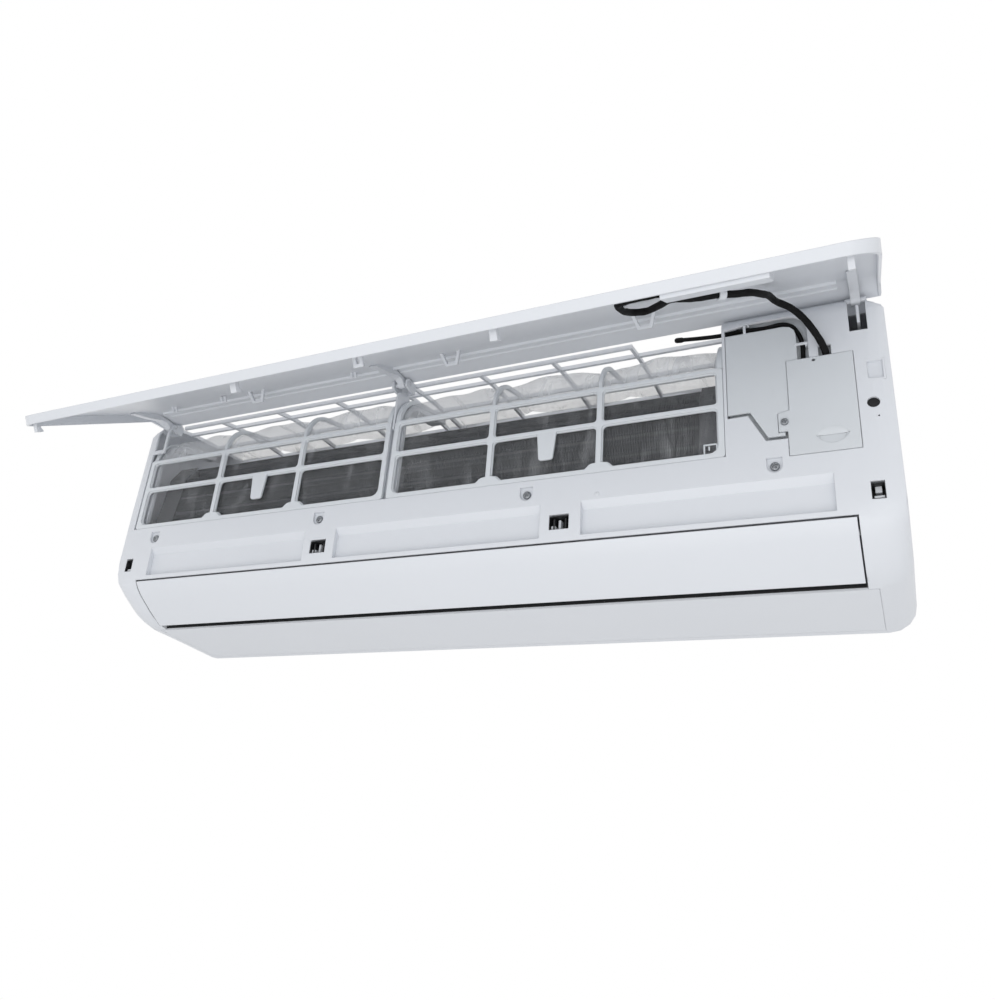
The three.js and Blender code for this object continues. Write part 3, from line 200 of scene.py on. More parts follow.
def smooth_path(corners, steps):
    """A centripetal curve through the corners (mm), as points in metres at equal shares of the corner count."""
    spots = [np.array(c, float) for c in corners]
    spots = [2 * spots[0] - spots[1], *spots, 2 * spots[-1] - spots[-2]]
    points = []
    for k in range(steps + 1):
        at = k / steps * (len(corners) - 1)
        i = min(int(at), len(corners) - 2)
        w = at - i
        p0, p1, p2, p3 = spots[i:i + 4]
        d0, d1, d2 = [np.linalg.norm(b - a) ** 0.5 for a, b in ((p0, p1), (p1, p2), (p2, p3))]
        t1 = ((p1 - p0) / d0 - (p2 - p0) / (d0 + d1) + (p2 - p1) / d1) * d1
        t2 = ((p2 - p1) / d1 - (p3 - p1) / (d1 + d2) + (p3 - p2) / d2) * d1
        point = p1 + t1 * w + (3 * (p2 - p1) - 2 * t1 - t2) * w ** 2 + (2 * (p1 - p2) + t1 + t2) * w ** 3
        points.append(Vector(point / 1000))
    return points


def solid_piece(name, vertices, faces, material, body):
    """A mesh object in its place, with smooth faces, that rides on a body of the frame."""
    mesh = bpy.data.meshes.new(name)
    mesh.from_pydata([tuple(v) for v in vertices], [], faces)
    mesh.validate()
    mesh.materials.append(material)
    piece = bpy.data.objects.new(name, mesh)
    bpy.context.scene.collection.objects.link(piece)
    for polygon in mesh.polygons:
        polygon.use_smooth = True
    if body:
        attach(piece, body)
    return piece


def swept(name, points, radii, sides, material, body):
    """A closed round tube along the points, one radius for each."""
    vertices, faces = [], []
    side = None
    for i, (point, radius) in enumerate(zip(points, radii)):
        along = (points[min(i + 1, len(points) - 1)] - points[max(i - 1, 0)]).normalized()
        side = along.orthogonal().normalized() if side is None else (side - along * side.dot(along)).normalized()
        other = along.cross(side)
        for s in range(sides):
            angle = 2 * math.pi * s / sides
            vertices.append(point + (side * math.cos(angle) + other * math.sin(angle)) * radius)
    for i in range(len(points) - 1):
        for s in range(sides):
            a, b = i * sides + s, i * sides + (s + 1) % sides
            faces.append((a, b, b + sides, a + sides))
    last = (len(points) - 1) * sides
    faces.append(tuple(reversed(range(sides))))
    faces.append(tuple(range(last, last + sides)))
    piece = solid_piece(name, vertices, faces, material, body)
    piece.data.set_sharp_from_angle(angle=math.radians(50))
    return piece


black_sleeve = grained("black_sleeve", (13, 13, 14), 0.7, grain_depth=0.0002, grain_size=0.0011, cloud=0.25, worn=0.1)
black_sleeve.node_tree.nodes["Principled BSDF"].inputs["Specular IOR Level"].default_value = 0.2
harness_corners = [
    (271.5, -316.9, 46.3), (260.9, -317.8, 45.8), (244.7, -316.2, 46.7), (235.9, -316.2, 45.5),
    (231.8, -300.6, 52.5), (231.4, -269.8, 69.9), (240.6, -260.3, 75.2), (255.7, -275.4, 66.7),
    (272.3, -295.7, 55.3), (279.5, -286.5, 60.4), (289.8, -275.7, 66.5), (302, -265.8, 73.4),
    (314.2, -258.1, 76.4), (325.3, -253.5, 78.4), (333.1, -242.2, 83), (336, -222, 95),
    (340, -204, 100.5), (349.7, -194, 98.9), (359, -185, 92), (366, -178, 82),
    (371, -172, 72.5), (373, -166.5, 67.5), (373.4, -161.5, 64),
]
harness_path = smooth_path(harness_corners, 176)
harness_radius = [0.003 + 0.00012 * math.sin(k * 0.9) * math.sin(k * 0.23) for k in range(len(harness_path))]
harness = swept("display_wiring", harness_path, harness_radius, 14, black_sleeve, None)
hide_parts("display_harness")
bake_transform(harness)

# ---- Room sensor
# A thin black cable clipped above the box cover, with the sensing bulb in a shrunk sleeve at its free end, which
# stands out into the inlet air.
sensor_corners = [
    (244.3, -140, 123.1), (262, -146, 117.2), (282.3, -154, 110.4), (306, -163.3, 104.7),
    (323.8, -163.3, 103.3), (339.5, -163.3, 104.1), (347, -163.3, 100.3), (350.9, -163.3, 94.1),
    (353.8, -163.3, 86.1), (354.9, -163.3, 77.5), (354.6, -163, 67.9), (354.6, -162.6, 64.5),
]
sensor_path = smooth_path(sensor_corners, 110)
sensor = swept("sensor_cable_round", sensor_path, [0.002] * len(sensor_path), 12, black_sleeve, "unit")
bulb_ends = [Vector((0.236, -0.1374, 0.1256)), Vector((0.2446, -0.1401, 0.123))]
bulb_shares = [0, 0.06, 0.2, 0.5, 0.8, 0.94, 1]
bulb_radii = [0.0012, 0.0021, 0.0026, 0.0026, 0.0026, 0.0023, 0.0018]
bulb_path = [bulb_ends[0].lerp(bulb_ends[1], share) for share in bulb_shares]
bulb = swept("sensor_bulb", bulb_path, bulb_radii, 14, black_sleeve, "unit")
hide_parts("sensor_cable")

# ---- Front casing
# One large moulding in white, slightly cool ABS with a fine spark-eroded grain: the bezel, the ends, the seats of
# the panel's hinges, the latch slots and the wells of the screws.


def stand_for(piece, node):
    """The piece takes the place of a CAD node, on that node's body; the node is hidden."""
    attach(piece, frame["nodes"][node]["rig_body"])
    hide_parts(node)
    return piece


def merged_copy(node):
    """A welded copy of a CAD node's mesh."""
    mesh = frame["nodes"][node].data.copy()
    mesh.materials.clear()
    work = bmesh.new()
    work.from_mesh(mesh)
    bmesh.ops.remove_doubles(work, verts=work.verts, dist=2e-6)
    work.to_mesh(mesh)
    work.free()
    if "custom_normal" in mesh.attributes:
        mesh.attributes.remove(mesh.attributes["custom_normal"])
    return mesh


def evaluated(piece):
    """Applies the piece's modifiers by taking its evaluated mesh, and removes them."""
    bpy.context.view_layer.update()
    result = bpy.data.meshes.new_from_object(piece.evaluated_get(bpy.context.evaluated_depsgraph_get()))
    piece.modifiers.clear()
    piece.data = result
    return piece


def moulded(node, material, edge=0, smooth=36):
    """A CAD node's form with smooth curves and, where edge is given, rounded edges, in place of that node."""
    mesh = merged_copy(node)
    mesh.materials.append(material)
    piece = bpy.data.objects.new(node + "_moulded", mesh)
    bpy.context.scene.collection.objects.link(piece)
    if edge:
        bevel = piece.modifiers.new("edge", "BEVEL")
        bevel.width = edge
        bevel.segments = 2
        bevel.limit_method = "ANGLE"
        bevel.angle_limit = math.radians(34)
        bevel.use_clamp_overlap = False
        bevel.miter_outer = "MITER_ARC"
        evaluated(piece)
    for polygon in piece.data.polygons:
        polygon.use_smooth = True
    piece.data.set_sharp_from_angle(angle=math.radians(smooth))
    weights = piece.modifiers.new("weights", "WEIGHTED_NORMAL")
    weights.keep_sharp = True
    evaluated(piece)
    return stand_for(piece, node)


white_abs = grained("white_abs", (221, 224, 229), 0.42)
moulded("front_casing", white_abs)

# ---- Front panel
# The hinged cover, one thin crowned moulding with hooks, hoops and three hinge arms on its back.
panel_abs = grained("panel_abs", (221, 224, 229), 0.34, grain_depth=0.00002)
moulded("front_panel", panel_abs)
moulded("display_box", white_abs)
moulded("harness_tie", white_abs)

# ---- Covers of the electrical box
# Two flat covers in a slightly greyer plastic; the terminal cover has a lens-shaped finger hold and one screw.
cover_plastic = grained("cover_plastic", (213, 217, 221), 0.45)
for name in ("box_cover", "terminal_cover", "control_box"):
    moulded(name, cover_plastic)
# painted shade: the button is coloured near-black for the shade deep in its hole
button_shade_black = grained("button_shade_black", (20, 20, 21), 0.6)
moulded("auto_button", button_shade_black)

# ---- Louver, drain pan, bottom cover and inlet grille
# White mouldings around the air's way through, the louver as glossy as the panel, and the small motor that turns
# it.
moulded("louver", panel_abs)
for name in ("drain_pan", "bottom_cover", "top_grille", "louver_motor"):
    moulded(name, white_abs)

# ---- Filter frames
# Springy white polypropylene frames: a flat front grid with rounded windows and a thin inner rim, and light ribs that
# bend over the coil to a bar at the back. A tongue in the middle cell is the finger hold.
filter_plastic = grained("filter_plastic", (221, 225, 229), 0.4)
filter_mid, filter_foot, rail_width = -0.1635, -0.022, 0.0055
straight_run, bend_radius, upper_slope = 0.090, 0.040, math.radians(14)
bend_centre = Vector((0, filter_mid + bend_radius, filter_foot + straight_run))
filter_spans = {
    "left": (-0.4075, -0.0635, (-0.293, -0.178)),
    "right": (-0.0585, 0.2855, (0.057, 0.170)),
}


def filter_point(s, inside):
    """The section's point at a run s from the lower edge, metres, over a straight, a bend and an upper run, and
    the direction inwards there."""
    turned = (math.pi / 2 - upper_slope) * bend_radius
    if s < straight_run:
        return Vector((0, filter_mid + inside, filter_foot + s)), Vector((0, 1, 0))
    if s < straight_run + turned:
        angle = math.pi - (s - straight_run) / bend_radius
    else:
        angle = math.pi / 2 + upper_slope
    out = Vector((0, math.cos(angle), math.sin(angle)))
    rest = max(s - straight_run - turned, 0)
    upper = Vector((0, math.cos(upper_slope), math.sin(upper_slope))) * rest
    return bend_centre + out * (bend_radius - inside) + upper, -out


def round_corner(x, z, radius, start, steps=4):
    """Points of a quarter circle about [x, z], from a start angle in degrees."""
    angles = [math.radians(start + 90 * k / steps) for k in range(steps + 1)]
    return [(x + radius * math.cos(a), z + radius * math.sin(a)) for a in angles]


def round_window(x0, x1, z0, z1, radius):
    """A rectangle with rounded corners, counted round from its upper right corner."""
    return [*round_corner(x1 - radius, z1 - radius, radius, 0), *round_corner(x0 + radius, z1 - radius, radius, 90),
            *round_corner(x0 + radius, z0 + radius, radius, 180), *round_corner(x1 - radius, z0 + radius, radius, 270)]


def upright_plate(name, outline, windows, y0, y1, edge, material):
    """A plate in the XZ plane between two depths, with windows and rounded edges, from a filled curve."""
    curve = bpy.data.curves.new(name, "CURVE")
    curve.dimensions = "2D"
    curve.fill_mode = "BOTH"
    for ring in (outline, *windows):
        spline = curve.splines.new("POLY")
        spline.points.add(len(ring) - 1)
        for point, (x, z) in zip(spline.points, ring):
            point.co = (x, z, 0, 1)
        spline.use_cyclic_u = True
    curve.extrude = (y1 - y0) / 2 - edge
    curve.bevel_depth = edge
    curve.bevel_resolution = 1
    curve.offset = -edge
    shape = bpy.data.objects.new(name, curve)
    bpy.context.scene.collection.objects.link(shape)
    bpy.context.view_layer.update()
    mesh = bpy.data.meshes.new_from_object(shape.evaluated_get(bpy.context.evaluated_depsgraph_get()))
    bpy.data.objects.remove(shape)
    for vertex in mesh.vertices:
        u, v, w = vertex.co
        vertex.co = (u, (y0 + y1) / 2 - w, v)
    mesh.materials.clear()
    mesh.materials.append(material)
    plate = bpy.data.objects.new(name, mesh)
    bpy.context.scene.collection.objects.link(plate)
    return plate


def bent_bar(name, x0, x1, s0, s1, inner, outer, steps, material):
    """A bar of the frame that follows the filter's section from run s0 to s1."""
    vertices, faces = [], []
    for k in range(steps + 1):
        s = s0 + (s1 - s0) * k / steps
        for x, inside in ((x0, outer), (x1, outer), (x1, inner), (x0, inner)):
            point = filter_point(s, inside)[0]
            vertices.append((x, point.y, point.z))
    for k in range(steps):
        for e in range(4):
            a, b = 4 * k + e, 4 * k + (e + 1) % 4
            faces.append((a, b, b + 4, a + 4))
    faces += [(3, 2, 1, 0), tuple(4 * steps + e for e in range(4))]
    bar = solid_piece(name, vertices, faces, material, None)
    softened = bar.modifiers.new("edge", "BEVEL")
    softened.width = 0.0005
    softened.segments = 2
    softened.limit_method = "ANGLE"
    softened.angle_limit = math.radians(60)
    return evaluated(bar)


def gathered(name, pieces, smooth=35):
    """One object from several plain ones, welded, with normals outward and soft shading on its curves."""
    work = bmesh.new()
    for piece in pieces:
        work.from_mesh(piece.data)
        material = piece.data.materials[0]
        bpy.data.objects.remove(piece)
    bmesh.ops.remove_doubles(work, verts=work.verts, dist=1e-6)
    bmesh.ops.recalc_face_normals(work, faces=work.faces)
    mesh = bpy.data.meshes.new(name)
    work.to_mesh(mesh)
    work.free()
    mesh.materials.append(material)
    whole = bpy.data.objects.new(name, mesh)
    bpy.context.scene.collection.objects.link(whole)
    for polygon in mesh.polygons:
        polygon.use_smooth = True
        polygon.material_index = 0
    mesh.set_sharp_from_angle(angle=math.radians(smooth))
    weights = whole.modifiers.new("weights", "WEIGHTED_NORMAL")
    weights.keep_sharp = True
    return evaluated(whole)


def filter_windows(x0, x1, columns, grow):
    """The windows of both front rows, grown or shrunk on every side; a low foot stands under each column."""
    edges = [x0 + rail_width, *(c + d for c in columns for d in (-0.0026, 0.0026)), x1 - rail_width]
    windows = []
    for a, b in zip(edges[::2], edges[1::2]):
        a, b = a - grow, b + grow
        windows.append(round_window(a, b, 0.0312 - grow, 0.0644 + grow, 0.0035))
        low = -0.017 - grow
        ring = [*round_corner(b - 0.004, 0.0232 + grow, 0.004, 0), *round_corner(a + 0.004, 0.0232 + grow, 0.004, 90)]
        if a - x0 < 0.01:
            ring += round_corner(a + 0.008, low + 0.008, 0.008, 180)
        else:
            ring += [(a, low + 0.0055), (a + 0.0045, low + 0.005), (a + 0.0065, low + 0.0038), (a + 0.0105, low)]
        if x1 - b < 0.01:
            ring += round_corner(b - 0.008, low + 0.008, 0.008, 270)
        else:
            ring += [(b - 0.0105, low), (b - 0.0065, low + 0.0038), (b - 0.0045, low + 0.005), (b, low + 0.0055)]
        windows.append(ring)
    return windows


for side, (x0, x1, columns) in filter_spans.items():
    outer_ring = round_window(x0, x1, filter_foot, 0.0682, 0.003)
    wide, narrow = filter_windows(x0, x1, columns, 0), filter_windows(x0, x1, columns, -0.0009)
    bars = [
        upright_plate("grid", outer_ring, wide, -0.1665, -0.1642, 0.0005, filter_plastic),
        upright_plate("rim", outer_ring, narrow, -0.1645, -0.1622, 0.0004, filter_plastic),
    ]
    for a, b in ((x0, x0 + rail_width), *((c - 0.0018, c + 0.0018) for c in columns), (x1 - rail_width, x1)):
        outer = 0.0002 if a < -0.4 else -0.0022  # the outermost rib is thinner, to clear the casing
        bars.append(bent_bar("rib", a, b, 0.0895, 0.205, 0.0027, outer, 34, filter_plastic))
    bars.append(bent_bar("rear_bar", x0, x1, 0.2005, 0.2065, 0.0028, -0.0024, 2, filter_plastic))
    grip = sum(columns) / 2 + 0.0035
    tongue = [(grip - 0.010, 0.0275), *round_corner(grip - 0.0045, 0.0015, 0.003, 180),
              *round_corner(grip + 0.0045, 0.0015, 0.003, 270), (grip + 0.010, 0.0275)]
    bars.append(upright_plate("tongue", tongue, [], -0.1665, -0.1637, 0.0006, filter_plastic))
    stand_for(gathered(f"filter_grid_{side}", bars), f"filter_{side}_frame")

# ---- Filter nets
# Woven white nylon, moulded into the frames at their bars and left slack over the bend, so it billows there.


def woven_net():
    """Threads both ways over a UV map in metres: the alpha of the weave, denser past the bend, with its folds."""
    group, given, result = effect_group(
        "woven_net",
        [("Pitch", "Float", 0.0011), ("Front thread", "Float", 0.05), ("Upper thread", "Float", 0.2),
         ("Thin", "Float", 0.15), ("Front crease", "Float", 0.13), ("Upper crease", "Float", 0.34)],
        [("Alpha", "Float"), ("Height", "Float")],
    )
    place = group.nodes.new("ShaderNodeUVMap")
    place.uv_map = "weave"
    split = group.nodes.new("ShaderNodeSeparateXYZ")
    group.links.new(place.outputs["UV"], split.inputs[0])
    run = calc(group, "DIVIDE", calc(group, "SUBTRACT", split.outputs["Y"], 0.084), 0.012)
    run = calc(group, "MINIMUM", calc(group, "MAXIMUM", run, 0.0), 1.0)
    gain = calc(group, "SUBTRACT", given.outputs["Upper thread"], given.outputs["Front thread"])
    width = calc(group, "MULTIPLY_ADD", run, gain, given.outputs["Front thread"])
    threads = []
    for axis in ("X", "Y"):
        turns = calc(group, "FRACT", calc(group, "DIVIDE", split.outputs[axis], given.outputs["Pitch"]))
        threads.append(calc(group, "LESS_THAN", turns, width))
    thread = calc(group, "MAXIMUM", *threads)
    film = calc(group, "MULTIPLY", run, given.outputs["Thin"])
    rest = calc(group, "MULTIPLY", calc(group, "SUBTRACT", 1.0, thread), film)
    stretch = group.nodes.new("ShaderNodeVectorMath")
    stretch.operation = "MULTIPLY"
    stretch.inputs[1].default_value = (52, 13, 1)
    folds = group.nodes.new("ShaderNodeTexNoise")
    folds.inputs["Scale"].default_value = 1
    folds.inputs["Detail"].default_value = 3
    folds.inputs["Distortion"].default_value = 0.9
    wire(group, [(place.outputs["UV"], stretch.inputs[0]), (stretch.outputs[0], folds.inputs["Vector"])])
    fold = calc(group, "MULTIPLY", calc(group, "SUBTRACT", folds.outputs["Fac"], 0.53), 5.0)
    fold = calc(group, "MINIMUM", calc(group, "MAXIMUM", fold, 0.0), 1.0)
    gain = calc(group, "SUBTRACT", given.outputs["Upper crease"], given.outputs["Front crease"])
    fold = calc(group, "MULTIPLY", fold, calc(group, "MULTIPLY_ADD", run, gain, given.outputs["Front crease"]))
    cover = calc(group, "MINIMUM", calc(group, "ADD", calc(group, "ADD", thread, rest), fold), 1.0)
    wire(group, [(cover, result.inputs["Alpha"]), (thread, result.inputs["Height"])])
    return group


net_finish = grained("net_finish", (238, 240, 243), 0.6, cloud=0.12)
net_tree = net_finish.node_tree
weave = net_tree.nodes.new("ShaderNodeGroup")
weave.node_tree = woven_net()
net_tree.links.new(weave.outputs["Alpha"], net_tree.nodes["Principled BSDF"].inputs["Alpha"])


def billowing_net(name, x0, x1, bars, seed):
    """A net from frame edge to frame edge that is flat in front and slack between the bars of its upper run."""
    rng = np.random.default_rng(seed)
    columns, rows, length = 172, 120, 0.205
    phases = rng.uniform(0, 2 * math.pi, (len(bars) + 1, 4))
    edges = [x0, *bars, x1]
    vertices, faces, uv = [], [], []
    for r in range(rows + 1):
        s = 0.001 + (length - 0.001) * r / rows
        base, inward = filter_point(s, 0.0037)
        slack = min(max((s - 0.094) / 0.04, 0), 1)
        sag = min(max((s - 0.135) / 0.05, 0), 1)
        for c in range(columns + 1):
            x = x0 + (x1 - x0) * c / columns
            cell = max(k for k in range(len(edges) - 1) if x >= edges[k] - 1e-9)
            share = (x - edges[cell]) / (edges[cell + 1] - edges[cell])
            free = math.sin(math.pi * min(max(share, 0), 1)) ** 0.7
            p = phases[cell]
            wave = 0.55 * math.sin(s * 88 + p[0] + share * 3.1) + 0.45 * math.sin(share * 7.4 + s * 31 + p[1])
            wave += 0.3 * math.sin(share * 15 + s * 70 + p[2])
            depth = slack * free * ((0.0032 - 0.0012 * sag) * wave - 0.0066 * (1 - sag))
            depth += sag * sag * (0.0115 * (0.4 + 0.6 * free) + 0.0012 * math.sin(x * 71 + p[3]))
            point = base + inward * (0.0006 + depth)
            point.x = x
            vertices.append(point)
            uv.append((x, s))
    for r in range(rows):
        for c in range(columns):
            a = r * (columns + 1) + c
            faces.append((a, a + 1, a + columns + 2, a + columns + 1))
    net = solid_piece(name, vertices, faces, net_finish, None)
    layer = net.data.uv_layers.new(name="weave")
    for loop in net.data.loops:
        layer.data[loop.index].uv = uv[loop.vertex_index]
    return net


for side, seed in (("left", 3), ("right", 8)):
    x0, x1, columns = filter_spans[side]
    net = billowing_net(f"net_{side}", x0 + 0.002, x1 - 0.002, columns, seed)
    stand_for(net, f"filter_{side}_mesh")

# ---- Coil
# Three packs of thin aluminium fins on copper tubes, between two galvanised tube sheets.


def fin_tree():
    """Geometry Nodes: repeats the given fin along X."""
    tree = bpy.data.node_groups.new("fin_pack", "GeometryNodeTree")
    face = tree.interface
    face.new_socket("Geometry", in_out="INPUT", socket_type="NodeSocketGeometry")
    for label, kind in (("Fins", "NodeSocketInt"), ("Pitch", "NodeSocketFloat"), ("Finish", "NodeSocketMaterial")):
        face.new_socket(label, in_out="INPUT", socket_type=kind)
    face.new_socket("Geometry", in_out="OUTPUT", socket_type="NodeSocketGeometry")
    given, result = tree.nodes.new("NodeGroupInput"), tree.nodes.new("NodeGroupOutput")
    line = tree.nodes.new("GeometryNodeMeshLine")
    step = tree.nodes.new("ShaderNodeCombineXYZ")
    copies = tree.nodes.new("GeometryNodeInstanceOnPoints")
    real = tree.nodes.new("GeometryNodeRealizeInstances")
    paint = tree.nodes.new("GeometryNodeSetMaterial")
    wire(tree, [
        (given.outputs["Fins"], line.inputs["Count"]),
        (given.outputs["Pitch"], step.inputs["X"]),
        (step.outputs[0], line.inputs["Offset"]),
        (line.outputs[0], copies.inputs["Points"]),
        (given.outputs["Geometry"], copies.inputs["Instance"]),
        (copies.outputs[0], real.inputs[0]),
        (real.outputs[0], paint.inputs["Geometry"]),
        (given.outputs["Finish"], paint.inputs["Material"]),
        (paint.outputs[0], result.inputs[0]),
    ])
    return tree


def repeated(piece, tree, **values):
    """Runs a Geometry Nodes tree on the piece with its named inputs set, and keeps the result as a plain mesh."""
    modifier = piece.modifiers.new(tree.name, "NODES")
    modifier.node_group = tree
    for item in tree.interface.items_tree:
        if item.in_out == "INPUT" and item.name in values:
            modifier[item.identifier] = values[item.name]
    return evaluated(piece)


def prism(outline, x0, x1):
    """Vertices and faces of a prism along X over [y, z] points, counted round either way."""
    n = len(outline)
    area = sum(a[0] * b[1] - b[0] * a[1] for a, b in zip(outline, outline[1:] + outline[:1]))
    ring = outline if area > 0 else outline[::-1]
    vertices = [(x, y, z) for x in (x0, x1) for y, z in ring]
    faces = [tuple(range(n))[::-1], tuple(range(n, 2 * n))]
    faces += [(i, (i + 1) % n, (i + 1) % n + n, i + n) for i in range(n)]
    return vertices, faces


def shaded(finish, value):
    """Multiplies the colour of a grained finish by a socket's value."""
    tree = finish.node_tree
    skin = next(node for node in tree.nodes if node.type == "GROUP")
    shade = tree.nodes.new("ShaderNodeHueSaturation")
    wire(tree, [
        (value, shade.inputs["Value"]),
        (skin.outputs["Colour"], shade.inputs["Color"]),
        (shade.outputs[0], tree.nodes["Principled BSDF"].inputs["Base Color"]),
    ])


# painted shade: the fins are coloured dark grey for the shade deep in the pack; painted light: the collars round each
# row of tubes get lighter bands, 21 mm apart
shade_dark_aluminium = grained("fin_aluminium_shade_dark", (84, 86, 90), 0.5, cloud=0.2, worn=0.0, metal=0.4)
fin_shader = shade_dark_aluminium.node_tree
spot = fin_shader.nodes.new("ShaderNodeTexCoord")
height = fin_shader.nodes.new("ShaderNodeSeparateXYZ")
fin_shader.links.new(spot.outputs["Object"], height.inputs[0])
turns = calc(fin_shader, "FRACT", calc(fin_shader, "MULTIPLY_ADD", height.outputs["Z"], 47.0, 0.3))
off_row = calc(fin_shader, "ABSOLUTE", calc(fin_shader, "SUBTRACT", turns, 0.5))
# painted light: the fin colour is lifted 1.9 times on the collar bands
lit_collar = calc(fin_shader, "LESS_THAN", off_row, 0.09)
shaded(shade_dark_aluminium, calc(fin_shader, "MULTIPLY_ADD", lit_collar, 0.9, 1.0))

fin_pitch, fin_thick, coil_x = 0.0016, 0.00022, (-0.3742, 0.2603)
fins = fin_tree()
packs = {
    "evaporator_front": [(-149.3, -43), (-124.5, -46), (-113, 50), (-137.8, 53)],
    "evaporator_top": [(-112.5, 51), (-64, 79), (-76, 99.8), (-124.5, 71.8)],
    "evaporator_rear": [(-39.7, 27.6), (-63.4, 78.4), (-43.5, 87.7), (-19.8, 36.9)],
}
notch_pitch = 10.5
notch_edges = {"evaporator_front": [3], "evaporator_top": [2, 3], "evaporator_rear": [1]}
for node, corners in packs.items():
    outline = []
    for i, corner in enumerate(corners):
        a, b = Vector(corner), Vector(corners[(i + 1) % 4])
        outline.append(tuple(a / 1000))
        if i not in notch_edges[node]:
            continue
        inward = Vector((-(b - a).y, (b - a).x)).normalized()
        count = max(int((b - a).length / notch_pitch), 1)
        for k in range(count):
            for share, depth in ((0.18, 0), (0.26, 1.1), (0.44, 1.1), (0.52, 0)):
                outline.append(tuple((a.lerp(b, (k + share) / count) + inward * depth) / 1000))
    vertices, faces = prism(outline, coil_x[0], coil_x[0] + fin_thick)
    fin = solid_piece(node + "_fins", vertices, faces, shade_dark_aluminium, None)
    for polygon in fin.data.polygons:
        polygon.use_smooth = False
    count = int((coil_x[1] - coil_x[0]) / fin_pitch)
    repeated(fin, fins, Fins=count, Pitch=fin_pitch, Finish=shade_dark_aluminium)
    stand_for(fin, node)

copper = grained("copper", (178, 116, 82), 0.35, cloud=0.3, worn=0.0, metal=1.0)
galvanised = grained("galvanised", (168, 172, 176), 0.42, cloud=0.25, worn=0.2, metal=0.9, grain_size=0.004)
zinc_tree = galvanised.node_tree
spot = zinc_tree.nodes.new("ShaderNodeTexCoord")
spangle = zinc_tree.nodes.new("ShaderNodeTexVoronoi")
spangle.inputs["Scale"].default_value = 130
flake = zinc_tree.nodes.new("ShaderNodeSeparateXYZ")
wire(zinc_tree, [(spot.outputs["Object"], spangle.inputs["Vector"]), (spangle.outputs["Color"], flake.inputs[0])])
shaded(galvanised, calc(zinc_tree, "MULTIPLY_ADD", flake.outputs["X"], 0.16, 0.92))
brass = grained("brass", (190, 160, 92), 0.32, cloud=0.15, worn=0.3, metal=1.0)
for node, inner, outer in (("tube_sheet_left", -0.3762, -0.3746), ("tube_sheet_right", 0.2606, 0.2622)):
    sheet = moulded(node, copper)
    sheet.data.materials.append(galvanised)
    for polygon in sheet.data.polygons:
        polygon.material_index = int(inner < polygon.center.x < outer)

# ---- Pipes
# Copper pipes with brass flare nuts, run down behind the unit.
for node, nut_x in (("gas_pipe", -0.0601), ("liquid_pipe", -0.0401)):
    pipe = moulded(node, copper, smooth=50)
    pipe.data.materials.append(brass)
    for polygon in pipe.data.polygons:
        polygon.material_index = int(nut_x < polygon.center.x < nut_x + 0.0203 and polygon.center.z < -0.09)

# ---- Rear base and wall plate
# The grey chassis that carries everything, hung on a zinc-plated plate.
grey_base = grained("grey_base", (196, 200, 204), 0.5)
moulded("rear_base", grey_base)
moulded("wall_plate", galvanised)

# ---- Fan, motor and their shaft
# A dark cross-flow wheel in five bays on a steel shaft, turned by a motor under a steel strap.
fan_plastic = grained("fan_plastic", (60, 63, 66), 0.5)
rubber = grained("rubber", (28, 28, 29), 0.75, cloud=0.3)
moulded("fan_wheel", fan_plastic)
for node in ("fan_shaft", "motor_shaft", "fan_motor", "motor_clamp"):
    moulded(node, galvanised, edge=0.0002)
for node in ("fan_bearing", "drain_plug"):
    moulded(node, rubber, edge=0.0003)

# ---- Air vanes
# Black vanes on pins in the base, tied by two link bars.
black_plastic = grained("black_plastic", (30, 31, 33), 0.48)
for side in ("left", "right"):
    for number in (1, 2, 3, 4):
        moulded(f"vane_{side}_{number}", black_plastic, edge=0.0002)
    moulded(f"link_{side}", black_plastic, edge=0.0002)

# ---- Latch clips, terminals and circuit board
# Black spring clips behind the slots, and the parts inside the electrical box.
for number in (1, 2, 3, 4):
    moulded(f"latch_clip_{number}", black_plastic, edge=0.0002)
moulded("terminal_block", black_plastic)
laminate = grained("laminate", (38, 92, 62), 0.5, cloud=0.2)
moulded("circuit_board", laminate, edge=0.0002)

# ---- Screws
# Pan-head screws with a cross recess, zinc plated.
screw_zinc = grained("screw_zinc", (150, 153, 157), 0.34, cloud=0.1, worn=0.3, metal=0.85)


def pan_head(name, x, z, seat, radius, shank, turned):
    """A domed head with a cross recess, facing the front, on a plain shank; all lengths in mm."""
    rings, spokes, rise, recess = 18, 80, 2.1, 1.3
    vertices, faces = [(x, seat - rise + recess, z)], []
    for r in range(1, rings + 1):
        share = r / rings
        for k in range(spokes):
            angle = 2 * math.pi * k / spokes
            reach = share * radius
            u, v = abs(reach * math.cos(angle - turned)), abs(reach * math.sin(angle - turned))
            dome = rise * (1 - share ** 5) ** 0.5 if r < rings else 0
            arm = max(min((0.75 - min(u, v)) / 0.25, 1), 0) * max(min((0.62 * radius - max(u, v)) / 0.3, 1), 0)
            vertices.append((x + reach * math.cos(angle), seat - dome + recess * arm, z + reach * math.sin(angle)))
    for k in range(spokes):
        faces.append((0, 1 + k, 1 + (k + 1) % spokes))
    for r in range(rings - 1):
        for k in range(spokes):
            a, b = 1 + r * spokes + k, 1 + r * spokes + (k + 1) % spokes
            faces.append((a, a + spokes, b + spokes, b))
    faces.append(tuple(1 + (rings - 1) * spokes + k for k in range(spokes)))
    head = solid_piece(name, [Vector(v) / 1000 for v in vertices], faces, screw_zinc, None)
    stem = swept("stem", [Vector((x, seat - 0.4, z)) / 1000, Vector((x, seat + shank, z)) / 1000],
                 [radius * 0.00042] * 2, 16, screw_zinc, None)
    return gathered(name, [head, stem], smooth=50)


